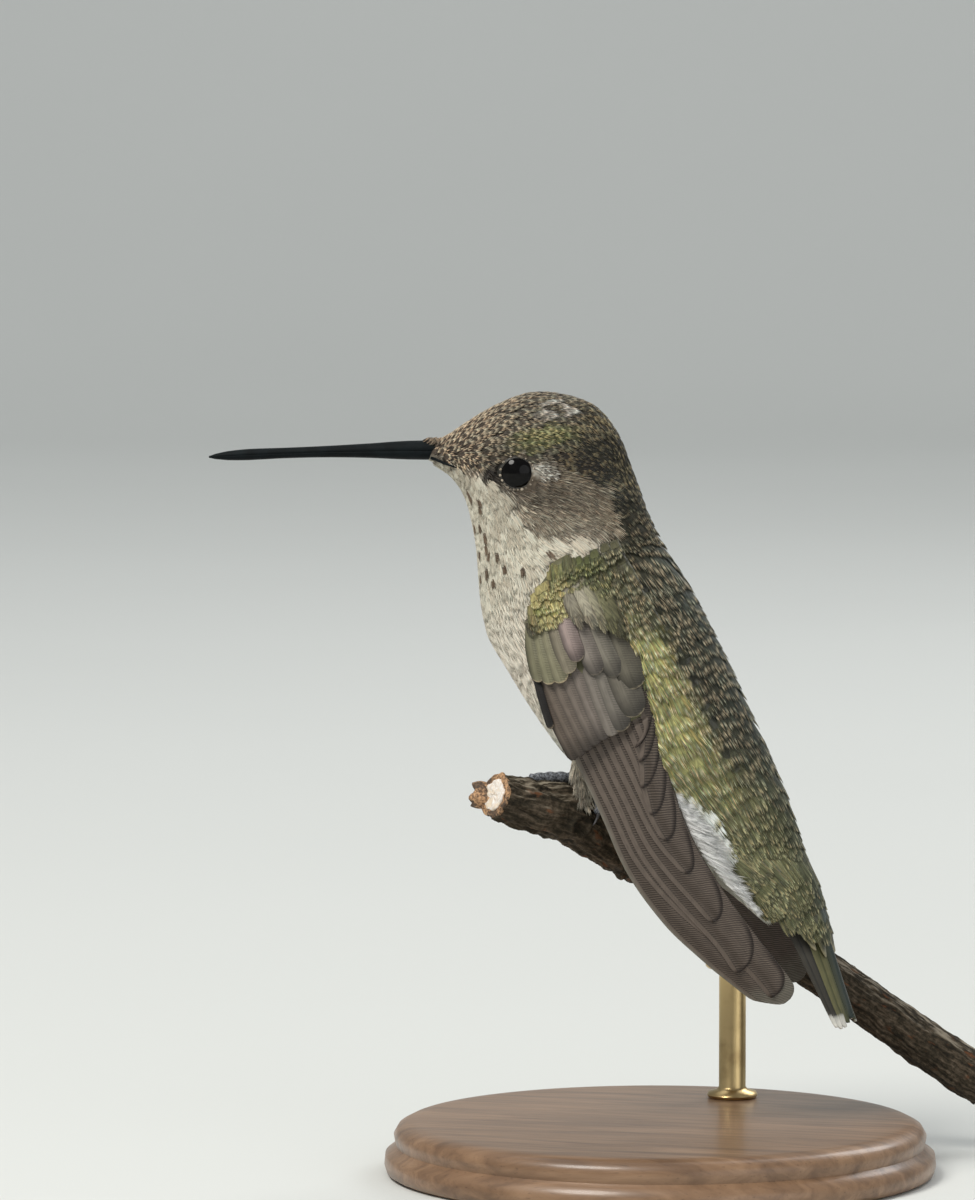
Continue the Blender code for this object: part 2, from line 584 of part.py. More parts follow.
# ---------------------------------------------------------------- the model
def build():
    for obj in list(bpy.data.objects):
        bpy.data.objects.remove(obj)
    model, cutters = collection("Hummingbird"), collection("Cutters")
    paint = {
        "head": finish_material("Head feathers", (0.16, 0.13, 0.08), 0.7),
        "back": finish_material("Body feathers", (0.32, 0.3, 0.2), 0.65),
        "wing": finish_material("Wing coverts", (0.19, 0.16, 0.12), 0.55),
        "flight": finish_material("Flight feathers", (0.08, 0.063, 0.048), 0.5),
        "tail": finish_material("Tail feathers", (0.05, 0.06, 0.045), 0.45),
        "bill": finish_material("Bill horn", (0.047, 0.055, 0.06), 0.4),
        "eye": finish_material("Eye", (0.006, 0.005, 0.005), 0.05),
        "leg": finish_material("Leg down", (0.4, 0.38, 0.33), 0.8),
        "foot": finish_material("Foot scales", (0.06, 0.065, 0.08), 0.55),
        "bark": finish_material("Bark", (0.03, 0.026, 0.018), 0.9),
        "wood": finish_material("Stand wood", (0.22, 0.13, 0.07), 0.45),
        "brass": finish_material("Stand brass", (0.55, 0.42, 0.2), 0.3, 1.0),
    }

    perch = twig("perch", cutters)
    perch_room = twig_bar("Perch room", cutters, GAP)
    knot_room = sphere("Knot room", KNOT_AT, (KNOT_RADIUS + GAP,) * 3, cutters, 12)
    feet = {which: foot(f"foot_{which}", place, cutters) for which, place in FEET}
    foot_rooms = [foot(f"Foot room {which}", place, cutters, GAP) for which, place in FEET]
    legs = {which: leg(f"leg_{which}", which, cutters) for which in LEG_AT}
    leg_rooms = [leg(f"Leg room {which}", which, cutters, GAP) for which in LEG_AT]

    sides = (("left", -1), ("right", 1))
    arms = {which: wing_arm(f"wing_{which}", side, cutters) for which, side in sides}
    arm_rooms = [wing_arm(f"Arm room {which}", side, cutters, GAP) for which, side in sides]
    flights = {which: flight_feathers(f"primaries_{which}", side, cutters) for which, side in sides}
    flight_rooms = [flight_room(f"Flight room {which}", side, cutters) for which, side in sides]
    tail = tail_feathers("tail", cutters)
    tail_space = tail_room("Tail room", cutters)

    head = body_length("head", 0.0, NECK_FROM, cutters)
    sockets = [eye(f"Socket {which}", side, EYE_RADIUS + SOCKET_DEPTH, cutters) for which, side in sides]
    boolean(head, sockets, "DIFFERENCE")
    part = PARTING / 2.0
    neck = body_length("neck", NECK_FROM + part, NECK_TO, cutters)
    trunk = body_length("trunk", NECK_TO + part, len(BODY) - 1.0, cutters)
    wing_rooms = arm_rooms + flight_rooms
    boolean(neck, arm_rooms, "DIFFERENCE")
    boolean(trunk, wing_rooms + [tail_space, perch_room, knot_room] + leg_rooms + foot_rooms, "DIFFERENCE")
    without_chips(trunk)
    for puff in legs.values():
        without_chips(boolean(puff, wing_rooms + [perch_room, knot_room] + foot_rooms, "DIFFERENCE"))

    dress(head, paint["head"], model)
    dress(neck, paint["head"], model)
    dress(trunk, paint["back"], model)
    dress(tail, paint["tail"], model)
    dress(perch, paint["bark"], model)
    for which, side in sides:
        dress(eye(f"eye_{which}", side, EYE_RADIUS, cutters), paint["eye"], model)
        dress(arms[which], paint["wing"], model)
        dress(flights[which], paint["flight"], model)
        dress(legs[which], paint["leg"], model)
        dress(feet[which], paint["foot"], model)
    for name, lower in (("bill_upper", False), ("bill_lower", True)):
        dress(bill_half(name, lower, cutters), paint["bill"], model)

    base = stand_base("stand_base", cutters)
    hole = cylinder("Rod hole", ROD_AT, ROD_RADIUS + ROD_CLEARANCE, ROD_SEAT - GAP, STAND_HEIGHT + 1, cutters, 24)
    dress(boolean(base, [hole], "DIFFERENCE"), paint["wood"], model)
    rod = cylinder("stand_rod", ROD_AT, ROD_RADIUS, ROD_SEAT, SADDLE_FROM - GAP, cutters, 24)
    dress(rod, paint["brass"], model)
    saddle = cylinder("stand_saddle", ROD_AT, SADDLE_RADIUS, SADDLE_FROM, SADDLE_TO, cutters, 32)
    dress(boolean(saddle, [perch_room], "DIFFERENCE"), paint["brass"], model)


build()
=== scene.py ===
"""The looks of a life-size hummingbird at rest on a cut twig, held by a plain stand.

Metres, +Z up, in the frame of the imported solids. The bird faces -X, its left side is at -Y and its
head is turned a little to its left. Tables are in millimetres. A place on the body counts in the
sections of BODY, and an angle goes round it from the ridge of the back, negative to the left.
"""
import math

import bpy
import numpy as np
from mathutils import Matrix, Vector, noise
from mathutils.kdtree import KDTree


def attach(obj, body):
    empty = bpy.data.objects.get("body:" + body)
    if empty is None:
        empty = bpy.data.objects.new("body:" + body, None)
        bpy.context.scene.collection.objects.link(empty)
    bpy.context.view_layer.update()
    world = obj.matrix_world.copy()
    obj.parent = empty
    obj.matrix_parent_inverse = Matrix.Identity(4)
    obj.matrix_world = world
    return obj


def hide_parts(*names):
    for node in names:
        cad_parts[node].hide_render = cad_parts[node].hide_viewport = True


bl_info = {
    "name": "Hummingbird",
    "version": (1, 0, 0),
    "blender": (4, 5, 0),
    "location": "3D View > Sidebar > Hummingbird",
    "description": "A still hummingbird with feathers of mesh, on a cut twig and a plain stand",
    "category": "Object",
}

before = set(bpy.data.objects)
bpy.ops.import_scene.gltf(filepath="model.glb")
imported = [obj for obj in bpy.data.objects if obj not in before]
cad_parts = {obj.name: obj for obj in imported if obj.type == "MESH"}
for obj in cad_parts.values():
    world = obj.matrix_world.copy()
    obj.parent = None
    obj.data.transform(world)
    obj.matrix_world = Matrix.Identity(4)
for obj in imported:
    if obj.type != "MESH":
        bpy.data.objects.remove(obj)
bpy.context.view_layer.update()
MM = 0.001
TAU = 2 * math.pi
PATCH = 0.003                        # width of a tuft's patch on the map for baking

# Body sections from the bill's base to the tail coverts: upper point (X, Z), lower point (X, Z),
# half width, place of the widest level from -1 (low) to 1 (high), and the share of the head's turn.
BODY = np.array((
    (-22.3, 68.7, -22.3, 66.9, 1, 0, 1),  # feathers at the bill's base
    (-20.4, 69.6, -21.1, 66.4, 2.2, -0.1, 1),
    (-18.3, 71, -20, 65.6, 3.3, -0.15, 1),  # lores
    (-15.7, 72.5, -19.1, 64.4, 4.3, -0.15, 1),
    (-12.6, 73.6, -18.5, 63, 4.9, -0.1, 1),  # eyes and crown
    (-9.3, 73.4, -18.1, 61.4, 5.3, -0.1, 1),
    (-6.3, 72.2, -17.8, 59.9, 5.4, -0.1, 1),
    (-4.3, 69.7, -17.6, 58.4, 5.4, -0.1, 1),  # nape and throat
    (-3.2, 67, -17.5, 57, 5.4, -0.1, 1),
    (-2.2, 64.3, -17.4, 55.5, 5.7, -0.1, 0.8),
    (-1.4, 62.2, -17.3, 53.9, 6.2, 0, 0.5),
    (-0.4, 60.3, -17, 52, 6.9, 0.05, 0.2),
    (0.7, 58.5, -16.5, 50.1, 7.4, 0.1, 0),  # shoulders and breast
    (2.7, 55.4, -14.7, 47.3, 7.9, 0.1, 0),
    (4.8, 51.6, -12.9, 44.5, 8, 0.1, 0),
    (6.7, 47.9, -10.9, 41.7, 7.9, 0.05, 0),
    (8.5, 44.1, -9.1, 39.5, 7.6, 0, 0),  # belly
    (10.2, 40.4, -6.8, 37.5, 7, 0, 0),
    (11.9, 36.7, -4.3, 35, 6.2, 0, 0),
    (13.3, 32.7, -0.6, 32.2, 5.4, 0, 0),  # vent
    (14.3, 29.6, 3.4, 29.4, 4.9, 0, 0),
    (15, 27.2, 7.3, 26.6, 4.5, 0, 0),
    (15.5, 25.2, 10.3, 24.2, 4.1, 0, 0),  # tips of the tail coverts
))
HEAD_TURN = math.radians(16)
HEAD_PIVOT_X = -8.8

EYE_AT = (-13.85, 3.42, 66.25)       # left and right at -Y and +Y, before the head's turn
EYE_RADIUS = 2.15
EYE_CLEARING = 1.76                  # no feather starts or ends this close to an eye's centre

# Bill: distance along it from its base, half height, half width
BILL = np.array((
    (0, 0.95, 1), (2, 0.9, 0.95), (5, 0.72, 0.8), (9, 0.57, 0.66), (13, 0.52, 0.6),
    (16.5, 0.55, 0.6), (18.4, 0.45, 0.5), (19.6, 0.26, 0.3), (20.2, 0.09, 0.1)))
BILL_BASE = (-22.6, 68.1)
BILL_DROOP = 0.6
BILL_SEAM = 0.01
# X and Z of the line at the mouth's corner
GAPE = ((-21.9, 67.5), (-21.3, 67.35), (-20.7, 67.1), (-20.1, 66.9), (-19.5, 66.7))

# Wing: along its length from the shoulder, lower (leading) edge, upper edge, and the spread,
# which is how far its outer face stands from the body's mirror plane.
WING = np.array((
    (-2.8, -0.6, 1.6, 7), (-0.9, -3.6, 4.6, 8.2), (1.6, -5, 5, 8.9), (5.8, -6.3, 4.4, 9.4),
    (9.5, -6.8, 3.6, 9.5), (14.2, -6.7, 2.4, 9.3), (20, -7, 0.3, 8.7), (26, -7.6, -0.8, 7.9),
    (32.2, -6.9, -0.7, 7.1), (37.6, -5.2, -0.1, 6.3), (41.9, -3.5, 0.5, 5.6), (44.2, -1.9, 0.5, 5.2)))
SHOULDER = (-7.35, 55.55)            # X and Z of the wing's origin
WING_ALONG = (0.488, 0, -0.873)
WING_ACROSS = (0.873, 0.14, 0.488)
WING_CAMBER_RADIUS = 17
COVERTS_END = 14.1
PRIMARY_TIPS = ((43.5, -1), (42.5, -1.6), (39, -3.2), (33.8, -2.7), (28.7, -2.5), (25.1, -2.6),
                (22.4, -2.5), (19.8, -2), (17.6, -1), (16.2, -0.7))   # outermost first
PRIMARY_PITCH = 0.85
FAR_WING_LIFT = 1.2                  # the right wing is held this much higher

# Tail: base and tip of the ridge line (X, Z), and the arch over which the ten feathers fan
TAIL_BASE, TAIL_TIP = (13, 32.4), (18.7, 14.9)
TAIL_HALF_BREADTH = 3.9
TAIL_ARCH = (5.2, 0.9)
TAIL_STEP = math.radians(14)
TAIL_LENGTHS = (0.97, 0.985, 1, 1, 0.985)     # share of the tail, centre pair to outer pair

# Twig: centre line (X, Y, Z) and radius, from the cut end to the far end
TWIG = np.array((
    (-13.8, -8.2, 36.2, 2.15), (-11.6, -5.6, 35.2, 2.45), (-8.2, -1.5, 33.8, 2.9), (-5.7, 2.9, 31.3, 2.85),
    (-4.6, 9.2, 28.9, 2.55), (-2.4, 13.5, 27, 2.4), (2.9, 16.6, 23, 2.3), (9.4, 18.2, 18.5, 2.25),
    (16, 19.5, 13.9, 2.25), (21.6, 20.8, 9.9, 2.3), (26.8, 22, 6.4, 2.3)))
KNOT_AT, KNOT_RADIUS = (-7.2, 0, 32.4), 2
STUB_FROM, STUB_TO = (-12.9, -6.6, 35.7), (-16.3, -6.9, 36)
STUB_RADII = (1.5, 1.05)

# Feet: where each stands along the twig, and its toes: run along the twig, angle round it, thickness
FEET = (("left", 2), ("right", 2.85))
TOES = ((-5.3, 38, 0.42), (-3.9, 76, 0.44), (-0.9, 92, 0.42), (0.4, -100, 0.4))
FOOT_ROLL = 12
TOE_CLEARANCE = -0.08
TWIG_STEP = 5.5                      # from one row of the twig to the next near the feet
SHANK_RADIUS = 0.45
LEG_AT = {"left": (-7.2, -3, 38.6), "right": (-4.6, 3.4, 38.4)}
LEG_HALF = (1.35, 1.25, 3)

# Stand: radius and height along the profiles of its turned pieces, and where the rod stands
BASE_PROFILE = ((25.2, 0), (25.8, 0.35), (26, 1), (25.9, 2), (25.2, 2.5), (24.9, 2.8), (25, 3.2),
                (25.1, 3.8), (24.7, 4.5), (23.9, 4.9), (22.8, 5))
ROD_PROFILE = ((1.3, 1.5), (1.3, 5), (2.3, 5.05), (2.45, 5.3), (2.3, 5.6), (1.5, 5.8), (1.3, 6.1),
               (1.3, 16.7), (1.22, 17.3))
ROD_AT = (2.9, 16.6)
SADDLE_RADIUS, SADDLE_FROM, SADDLE_TO = 2.6, 17.6, 21.6

VIEW_MIDDLE = (-16.27, 54.06)        # what the camera centres: across the view and up it


# ---- curves and surfaces
def catmull(a, b, c, d, t):
    """Smooth values between b and c."""
    return 0.5 * (2 * b + (c - a) * t + (2 * a - 5 * b + 4 * c - d) * t ** 2
                  + (3 * b - a - 3 * c + d) * t ** 3)


def smooth_rows(rows, place):
    """The rows of a table read smoothly between them, going straight on past its ends."""
    last = len(rows) - 1
    place = np.asarray(place, float)
    inside = np.clip(place, 0, last)
    index = np.minimum(inside.astype(int), last - 1)
    share = (inside - index)[..., None]
    picks = [rows[np.clip(index + k, 0, last)] for k in (-1, 0, 1, 2)]
    before, past = np.minimum(place, 0)[..., None], np.maximum(place - last, 0)[..., None]
    return catmull(*picks, share) + before * (rows[1] - rows[0]) + past * (rows[-1] - rows[-2])


def row_at(rows, value):
    """The row of a table at a value of its first column."""
    return smooth_rows(rows, np.interp(value, rows[:, 0], np.arange(len(rows))))


def ease(low, high, value):
    """0 below low, 1 above high, smooth between."""
    share = np.clip((np.asarray(value, float) - low) / (high - low), 0, 1)
    return share * share * (3 - 2 * share)


def blend(a, b, share):
    return a + (b - a) * share


def normalised(vectors):
    return vectors / np.maximum(np.linalg.norm(vectors, axis=-1, keepdims=True), 1e-9)


def full_turn(count):
    """Even angles all the way round."""
    return np.arange(count) * TAU / count


def wrapped(angle):
    """Angles brought between minus and plus half a turn."""
    return (angle + math.pi) % TAU - math.pi


def turned(x, y, z, share):
    """Points of the head or neck after the head's turn about the upright neck axis."""
    angle = HEAD_TURN * share
    x = x - HEAD_PIVOT_X
    return np.stack([HEAD_PIVOT_X + x * np.cos(angle) - y * np.sin(angle),
                     x * np.sin(angle) + y * np.cos(angle), z + 0 * x], axis=-1)


def body_plain(place, angle, grow=0):
    """Points of the body before the head's turn, and their share of that turn."""
    row = smooth_rows(BODY, np.maximum(place, 0.02))
    upper, lower, half, level, turn = row[..., 0:2], row[..., 2:4], row[..., 4], row[..., 5], row[..., 6]
    middle, up = (upper + lower) / 2, (upper - lower) / 2
    stretch = 1 + grow / np.linalg.norm(up, axis=-1)
    height = ((np.cos(angle) + 0.5 * level * np.sin(angle) ** 2) * stretch)[..., None]
    flat = middle + up * height
    return flat[..., 0], (half + grow) * np.sin(angle), flat[..., 1], turn


def body_point(place, angle, grow=0):
    """Points of the body's surface, grown outwards by some millimetres."""
    return turned(*body_plain(place, angle, grow))


def wing_row(along):
    return row_at(WING, along)


def wing_point(along, across, out, side):
    """Points of a folded wing: along it, across it, and out from its outer face. Left is -1."""
    row = wing_row(along)
    low, high, spread = row[..., 1], row[..., 2], row[..., 3]
    lift = FAR_WING_LIFT if side > 0 else 0
    bow = (across - (low + high) / 2) ** 2 / (2 * WING_CAMBER_RADIUS)
    flat = [WING_ALONG[k] * (along - lift) + WING_ACROSS[k] * across for k in range(3)]
    return np.stack([SHOULDER[0] + flat[0], side * (spread - flat[1] - bow + out), SHOULDER[1] + flat[2]],
                    axis=-1)


def tail_point(share, angle, inward):
    """Points of the fanned tail: share of its length, angle round its arch, and depth under it."""
    base, tip = np.array(TAIL_BASE), np.array(TAIL_TIP)
    ridge = base + (tip - base) * share[..., None]
    along = (tip - base) / np.linalg.norm(tip - base)
    below = np.array((along[1], -along[0]))
    breadth = TAIL_HALF_BREADTH * (0.75 + 0.25 * np.minimum(1, share * 1.6))
    depth = TAIL_ARCH[0] + (TAIL_ARCH[1] - TAIL_ARCH[0]) * share
    out = normalised(np.stack([depth * np.sin(angle), breadth * np.cos(angle)], axis=-1))
    flat = ridge + below * (depth * (1 - np.cos(angle)) + inward * out[..., 1])[..., None]
    return np.stack([flat[..., 0], breadth * np.sin(angle) - inward * out[..., 0], flat[..., 1]], axis=-1)


# ---- meshes from arrays
def set_map(mesh, title, values):
    """A UV map of a mesh, from a value for each corner."""
    layer = mesh.uv_layers.new(name=title)
    layer.uv.foreach_set("vector", values.astype(np.float32).ravel())


def set_tint(mesh, tint):
    """The colours of a mesh's points, each with its gloss as a fourth number."""
    layer = mesh.color_attributes.new(name="Tint", type="FLOAT_COLOR", domain="POINT")
    layer.data.foreach_set("color", tint.astype(np.float32).ravel())


def glossed(colours, gloss):
    """Colours with their gloss as a fourth number."""
    return np.concatenate([colours, np.full((len(colours), 1), gloss)], axis=1)


def new_piece(name, points, triangles, tint=None, bake=None, vane=None):
    """A smooth mesh object from arrays of points (mm) and triangles, with its colours and maps."""
    mesh = bpy.data.meshes.new(name)
    corners = triangles.ravel()
    mesh.vertices.add(len(points))
    mesh.vertices.foreach_set("co", (points * MM).astype(np.float32).ravel())
    mesh.loops.add(len(corners))
    mesh.loops.foreach_set("vertex_index", corners.astype(np.int32))
    mesh.polygons.add(len(triangles))
    mesh.polygons.foreach_set("loop_start", np.arange(0, len(corners), 3, dtype=np.int32))
    mesh.update(calc_edges=True)
    mesh.validate()
    for title, values in (("OFBake", bake), ("Vane", vane)):
        if values is not None:
            set_map(mesh, title, values[corners])
    if tint is not None:
        set_tint(mesh, tint)
    mesh.shade_smooth()
    obj = bpy.data.objects.new(name, mesh)
    bpy.context.scene.collection.objects.link(obj)
    return obj


def place_piece(obj, material, slot, *nodes):
    """Give a finished piece its material and its body, and hide the nodes it stands for; the slot is not
    used.
    """
    obj.data.materials.clear()
    obj.data.materials.append(material)
    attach(obj, "root")
    if nodes:
        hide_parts(*nodes)


def grid_triangles(rows, columns, closed):
    """Triangles between the rings of a grid of points, each ring closed or open."""
    row = np.arange(rows - 1)[:, None] * columns
    column = np.arange(columns if closed else columns - 1)[None, :]
    after = (column + 1) % columns
    a, b = row + column, row + after
    c, d = b + columns, a + columns
    return np.stack([a, b, c, a, c, d], axis=-1).reshape(-1, 3)


def tube_triangles(rows, columns):
    """Triangles of a tube whose two ends are fanned to a middle point each."""
    first, last = rows * columns, rows * columns + 1
    column = np.arange(columns)
    after = (column + 1) % columns
    top = (rows - 1) * columns
    start = np.stack([after, column, np.full(columns, first)], axis=-1)
    end = np.stack([top + column, top + after, np.full(columns, last)], axis=-1)
    return np.concatenate([grid_triangles(rows, columns, True), start, end])


def closed_tube(rings):
    """Points and triangles of a closed tube through rings, an array (rows, columns, 3)."""
    rows, columns, _ = rings.shape
    ends = np.stack([rings[0].mean(axis=0), rings[-1].mean(axis=0)])
    points = np.concatenate([rings.reshape(-1, 3), ends])
    triangles = tube_triangles(rows, columns)
    corners = points[triangles]
    volume = np.einsum("ij,ij->i", corners[:, 0], np.cross(corners[:, 1], corners[:, 2])).sum()
    return points, triangles if volume > 0 else triangles[:, ::-1]


def sweep(path, radii, sides, flat=1):
    """A closed round or flattened bar along points of a path."""
    ahead = normalised(np.gradient(path, axis=0))
    rings, side = [], np.array((0, 0, 1))
    if abs(ahead[0, 2]) > 0.9:
        side = np.array((1, 0, 0))
    turn = full_turn(sides)
    for point, direction, radius in zip(path, ahead, radii):
        side = normalised(side - direction * side.dot(direction))
        other = np.cross(direction, side)
        ring = np.outer(np.cos(turn) * flat, side) + np.outer(np.sin(turn), other)
        rings.append(point + radius * ring)
    return closed_tube(np.array(rings))


def joined(parts):
    """Several (points, triangles, ...) as one, any further arrays set end to end."""
    shift, triangles = 0, []
    for part in parts:
        triangles.append(part[1] + shift)
        shift += len(part[0])
    columns = list(zip(*parts))
    return (np.concatenate(columns[0]), np.concatenate(triangles),
            *(np.concatenate(column) for column in columns[2:]))


# ---- tufts
class Tuft:
    """One feather in its own coordinates: u along it, v across it, w up, all in shares of its size."""

    def __init__(self):
        self.points, self.faces, self.share, self.shade, self.tone = [], [], [], [], []
        self.count = 0

    def blade(self, path_u, path_v, half, rise, sides, share, shade, tone=0):
        """A tapering blade along a path, its last point its tip, flat below and ridged above."""
        steps = len(path_u) - 1
        du, dv = np.gradient(path_u), np.gradient(path_v)
        size = np.maximum(np.hypot(du, dv), 1e-6)
        turn = np.linspace(0, math.pi, sides)
        start = self.count
        for k in range(steps):
            across, up = half[k] * np.cos(turn), rise[k] * np.sin(turn)
            beside_u, beside_v = across * dv[k] / size[k], across * du[k] / size[k]
            self.points += list(zip(path_u[k] - beside_u, path_v[k] + beside_v, up))
            self.share += [share[k]] * sides
        self.points.append((path_u[-1], path_v[-1], 0))
        self.share.append(share[-1])
        rings = grid_triangles(steps, sides, True) + start if steps > 1 else np.zeros((0, 3), int)
        last, tip = start + (steps - 1) * sides, start + steps * sides
        ends = [(last + j, last + (j + 1) % sides, tip) for j in range(sides)]
        base = [(start, start + j + 1, start + j) for j in range(1, sides - 1)]
        self.faces += [tuple(face) for face in rings] + ends + base
        self.count += steps * sides + 1
        self.shade += [shade] * (steps * sides + 1)
        self.tone += [tone] * (steps * sides + 1)

    def finish(self):
        self.points, self.faces = np.array(self.points, float), np.array(self.faces, int)
        self.share, self.shade, self.tone = np.array(self.share), np.array(self.shade), np.array(self.tone)
        return self


def plume(rng, barbs, fringe, width, bow, reach, leaf, wear_and_highlight, edges=0):
    """A contour feather: a broad leaf, and barbs side by side that stand out past it as its fringe.

    fringe is how much of a barb has the fringe's colour, width half its breadth, bow how far the
    feather's end is rounded and reach how far back a barb starts, all as shares of the feather's
    size. worn is the share of the barbs without that colour, edges how much of it the outermost
    barbs have all along.
    """
    tuft = Tuft()
    along = leaf * np.array((0, 0.26, 0.6, 0.88, 1))
    half = 0.5 * np.array((0.22, 0.62, 0.86, 0.72, 0))
    tuft.blade(along, along * 0, half, 0.018 + 0 * along, 5, along * 0, -0.4)
    change = 1 - fringe / reach
    step = np.array((0, change - 0.1, change + 0.04, 1))
    pale = 1
    for k in range(barbs):
        seat = 2 * (k + 0.5) / barbs - 1 + rng.uniform(-0.4, 0.4) / barbs
        end = 1 - bow * seat * seat + rng.uniform(-0.06, 0.03)
        start = max(0.02, end - reach)
        if wear_and_highlight > 0.1 or rng.random() < 0.7:
            pale = float(rng.random() > wear_and_highlight)
        path_v = 0.5 * seat * (0.62 + 0.38 * step)
        sides = edges * float(ease(0.45, 0.85, abs(seat)))
        barb = width * rng.uniform(0.7, 1.2)
        tuft.blade(start + (end - start) * step, path_v, barb * np.array((0.9, 1, 1, 0)),
                   0.05 + 0.02 * (1 - step), 3, np.array((sides, sides, pale, pale)), rng.uniform(-1, 1),
                   rng.uniform(-1, 1))
    return tuft.finish()


def lock(rng, hairs, width, spread):
    """Hair-like barbs side by side, for the cheeks, throat and belly."""
    tuft = Tuft()
    for k in range(hairs):
        seat = (k + 0.5) / hairs - 0.5 + rng.uniform(-0.3, 0.3) / hairs
        start, end = rng.uniform(0, 0.3), rng.uniform(0.72, 1) - 0.5 * seat * seat
        step = np.array((0, 0.4, 0.75, 1))
        bend = rng.uniform(-0.06, 0.06)
        path_u = start + (end - start) * step
        path_v = seat * (0.55 + 0.45 * spread + spread * step) + bend * step * step
        hair = width * rng.uniform(0.7, 1.25)
        tuft.blade(path_u, path_v, hair * np.array((0.7, 1, 0.8, 0)), 0.05 + 0 * step, 3, path_u,
                   rng.uniform(-1, 1), rng.uniform(-1, 1))
    return tuft.finish()


def bake_map(place, angle):
    """Where a point of the body lies on the unwrap of the skin."""
    return np.clip(np.stack([angle / TAU + 0.5, place / (len(BODY) + 1)], axis=-1), 0, 1)


class Coat:
    """Gathers tufts, and makes pieces of them that each stay under the limit of triangles."""

    LIMIT = 180000

    def __init__(self, name, material, slot):
        self.name, self.material, self.slot = name, material, slot
        self.parts, self.number = [], 0

    def add(self, points, faces, tint, bake, vane):
        """Tufts as arrays (count, points of one, ...), with one table of faces for all."""
        count, size = points.shape[:2]
        most = max(1, self.LIMIT // len(faces))
        for first in range(0, count, most):
            part = slice(first, min(count, first + most))
            shift = (np.arange(len(points[part])) * size)[:, None, None]
            flat = [values[part].reshape(-1, values.shape[-1]) for values in (points, tint, bake, vane)]
            self.parts.append((flat[0], (faces + shift).reshape(-1, 3), *flat[1:]))

    def finish(self):
        batch, total = [], 0
        for part in self.parts:
            if batch and total + len(part[1]) > self.LIMIT:
                self.piece(batch)
                batch, total = [], 0
            batch.append(part)
            total += len(part[1])
        if batch:
            self.piece(batch)

    def piece(self, batch):
        self.number += 1
        place_piece(new_piece(f"{self.name}_{self.number}", *joined(batch)), self.material, self.slot)


def colour_tufts(rng, tuft, core, fringe, gloss, looks):
    """Colours of every point, from the core to the fringe.

    looks holds how much a feather, a barb and a barb's hue differ from the next.
    """
    contrast, streak, drift = looks
    count, size = len(core), len(tuft.points)
    edge = ease(0.15, 0.85, tuft.share)[None, :, None]
    colour = blend(core[:, None, :], fringe[:, None, :], edge)
    barb = 1 + streak * tuft.shade[None, :, None] + contrast * rng.uniform(-1, 1, (count, 1, 1))
    hue = 1 + drift * tuft.tone[None, :, None] * np.array((1, -0.1, -0.6))
    tint = np.ones((count, size, 4))
    tint[..., :3] = np.clip(colour * barb * hue, 0.004, 0.95)
    tint[..., 3] = gloss[:, None] * (1 - 0.7 * edge[..., 0])
    return tint


def metric(place, angle, direction, point_at):
    """Steps of (place, angle) that move one millimetre along a direction, and across it."""
    step = 0.02
    down = (point_at(place + step, angle) - point_at(place - step, angle)) / (2 * step)
    round_ = (point_at(place, angle + step) - point_at(place, angle - step)) / (2 * step)
    normal = normalised(np.cross(round_, down))
    middle = point_at(place, angle, -1)
    outward = np.sign(((point_at(place, angle) - middle) * normal).sum(-1, keepdims=True))
    normal = normal * outward
    ahead = normalised(direction - normal * (direction * normal).sum(-1, keepdims=True))
    across = np.cross(normal, ahead)
    e, f, g = (down * down).sum(-1), (down * round_).sum(-1), (round_ * round_).sum(-1)
    steps = []
    for vector in (ahead, across):
        p, q = (vector * down).sum(-1), (vector * round_).sum(-1)
        steps.append(np.stack([(g * p - f * q), (e * q - f * p)], axis=-1) / (e * g - f * f)[..., None])
    return steps


def shaped(rng, tuft, length, width, sway):
    """A tuft's points along and across each of its places, all a little different in size and turn."""
    size = rng.uniform(0.88, 1.12, (len(length), 1))
    turn = rng.uniform(-sway, sway, (len(length), 1))
    x = tuft.points[None, :, 0] * length[:, None] * size
    y = tuft.points[None, :, 1] * width[:, None] * size
    chart = np.stack([y, x], axis=-1)
    return x * np.cos(turn) - y * np.sin(turn), x * np.sin(turn) + y * np.cos(turn), chart


def lifted(tuft, low, high, thick, droop):
    """How high a tuft's points stand, from its root to its tip."""
    u, v, w = tuft.points.T[:, None, :]
    return (low[:, None] + (high - low)[:, None] * np.maximum(u, 0) ** 0.75 + w * thick[:, None] / 0.05
            - droop[:, None] * (2 * v) ** 2)


def plant(rng, coat, tufts, count, sizes, colours, bake, looks, curl, sway, put):
    """Add tufts to a coat. put(chosen, along, across, rise) gives the points of some of them.

    sizes holds length, width, root height, tip height, thickness and droop, as arrays or numbers.
    colours holds the core's, the fringe's and the gloss, for each tuft. curl is how far a tip bends
    down, as a share of the tuft's length.
    """
    sizes = [np.broadcast_to(value, count) for value in sizes]
    pick = rng.integers(0, len(tufts), count)
    for number, tuft in enumerate(tufts):
        chosen = np.flatnonzero(pick == number)
        if not len(chosen):
            continue
        length, width, low, high, thick, droop = (value[chosen] for value in sizes)
        x, y, vane = shaped(rng, tuft, length, width, sway)
        rise = lifted(tuft, low, high, thick, droop) - curl * tuft.points[None, :, 0] ** 2 * length[:, None]
        tint = colour_tufts(rng, tuft, *(value[chosen] for value in colours), looks)
        patch = np.stack([tuft.points[:, 1], tuft.points[:, 0] - 0.5], axis=-1)[None] * PATCH
        spots = np.clip(bake[chosen, None] + patch, 0, 1)
        coat.add(put(chosen, x, y, rise), tuft.faces, tint, spots, vane)


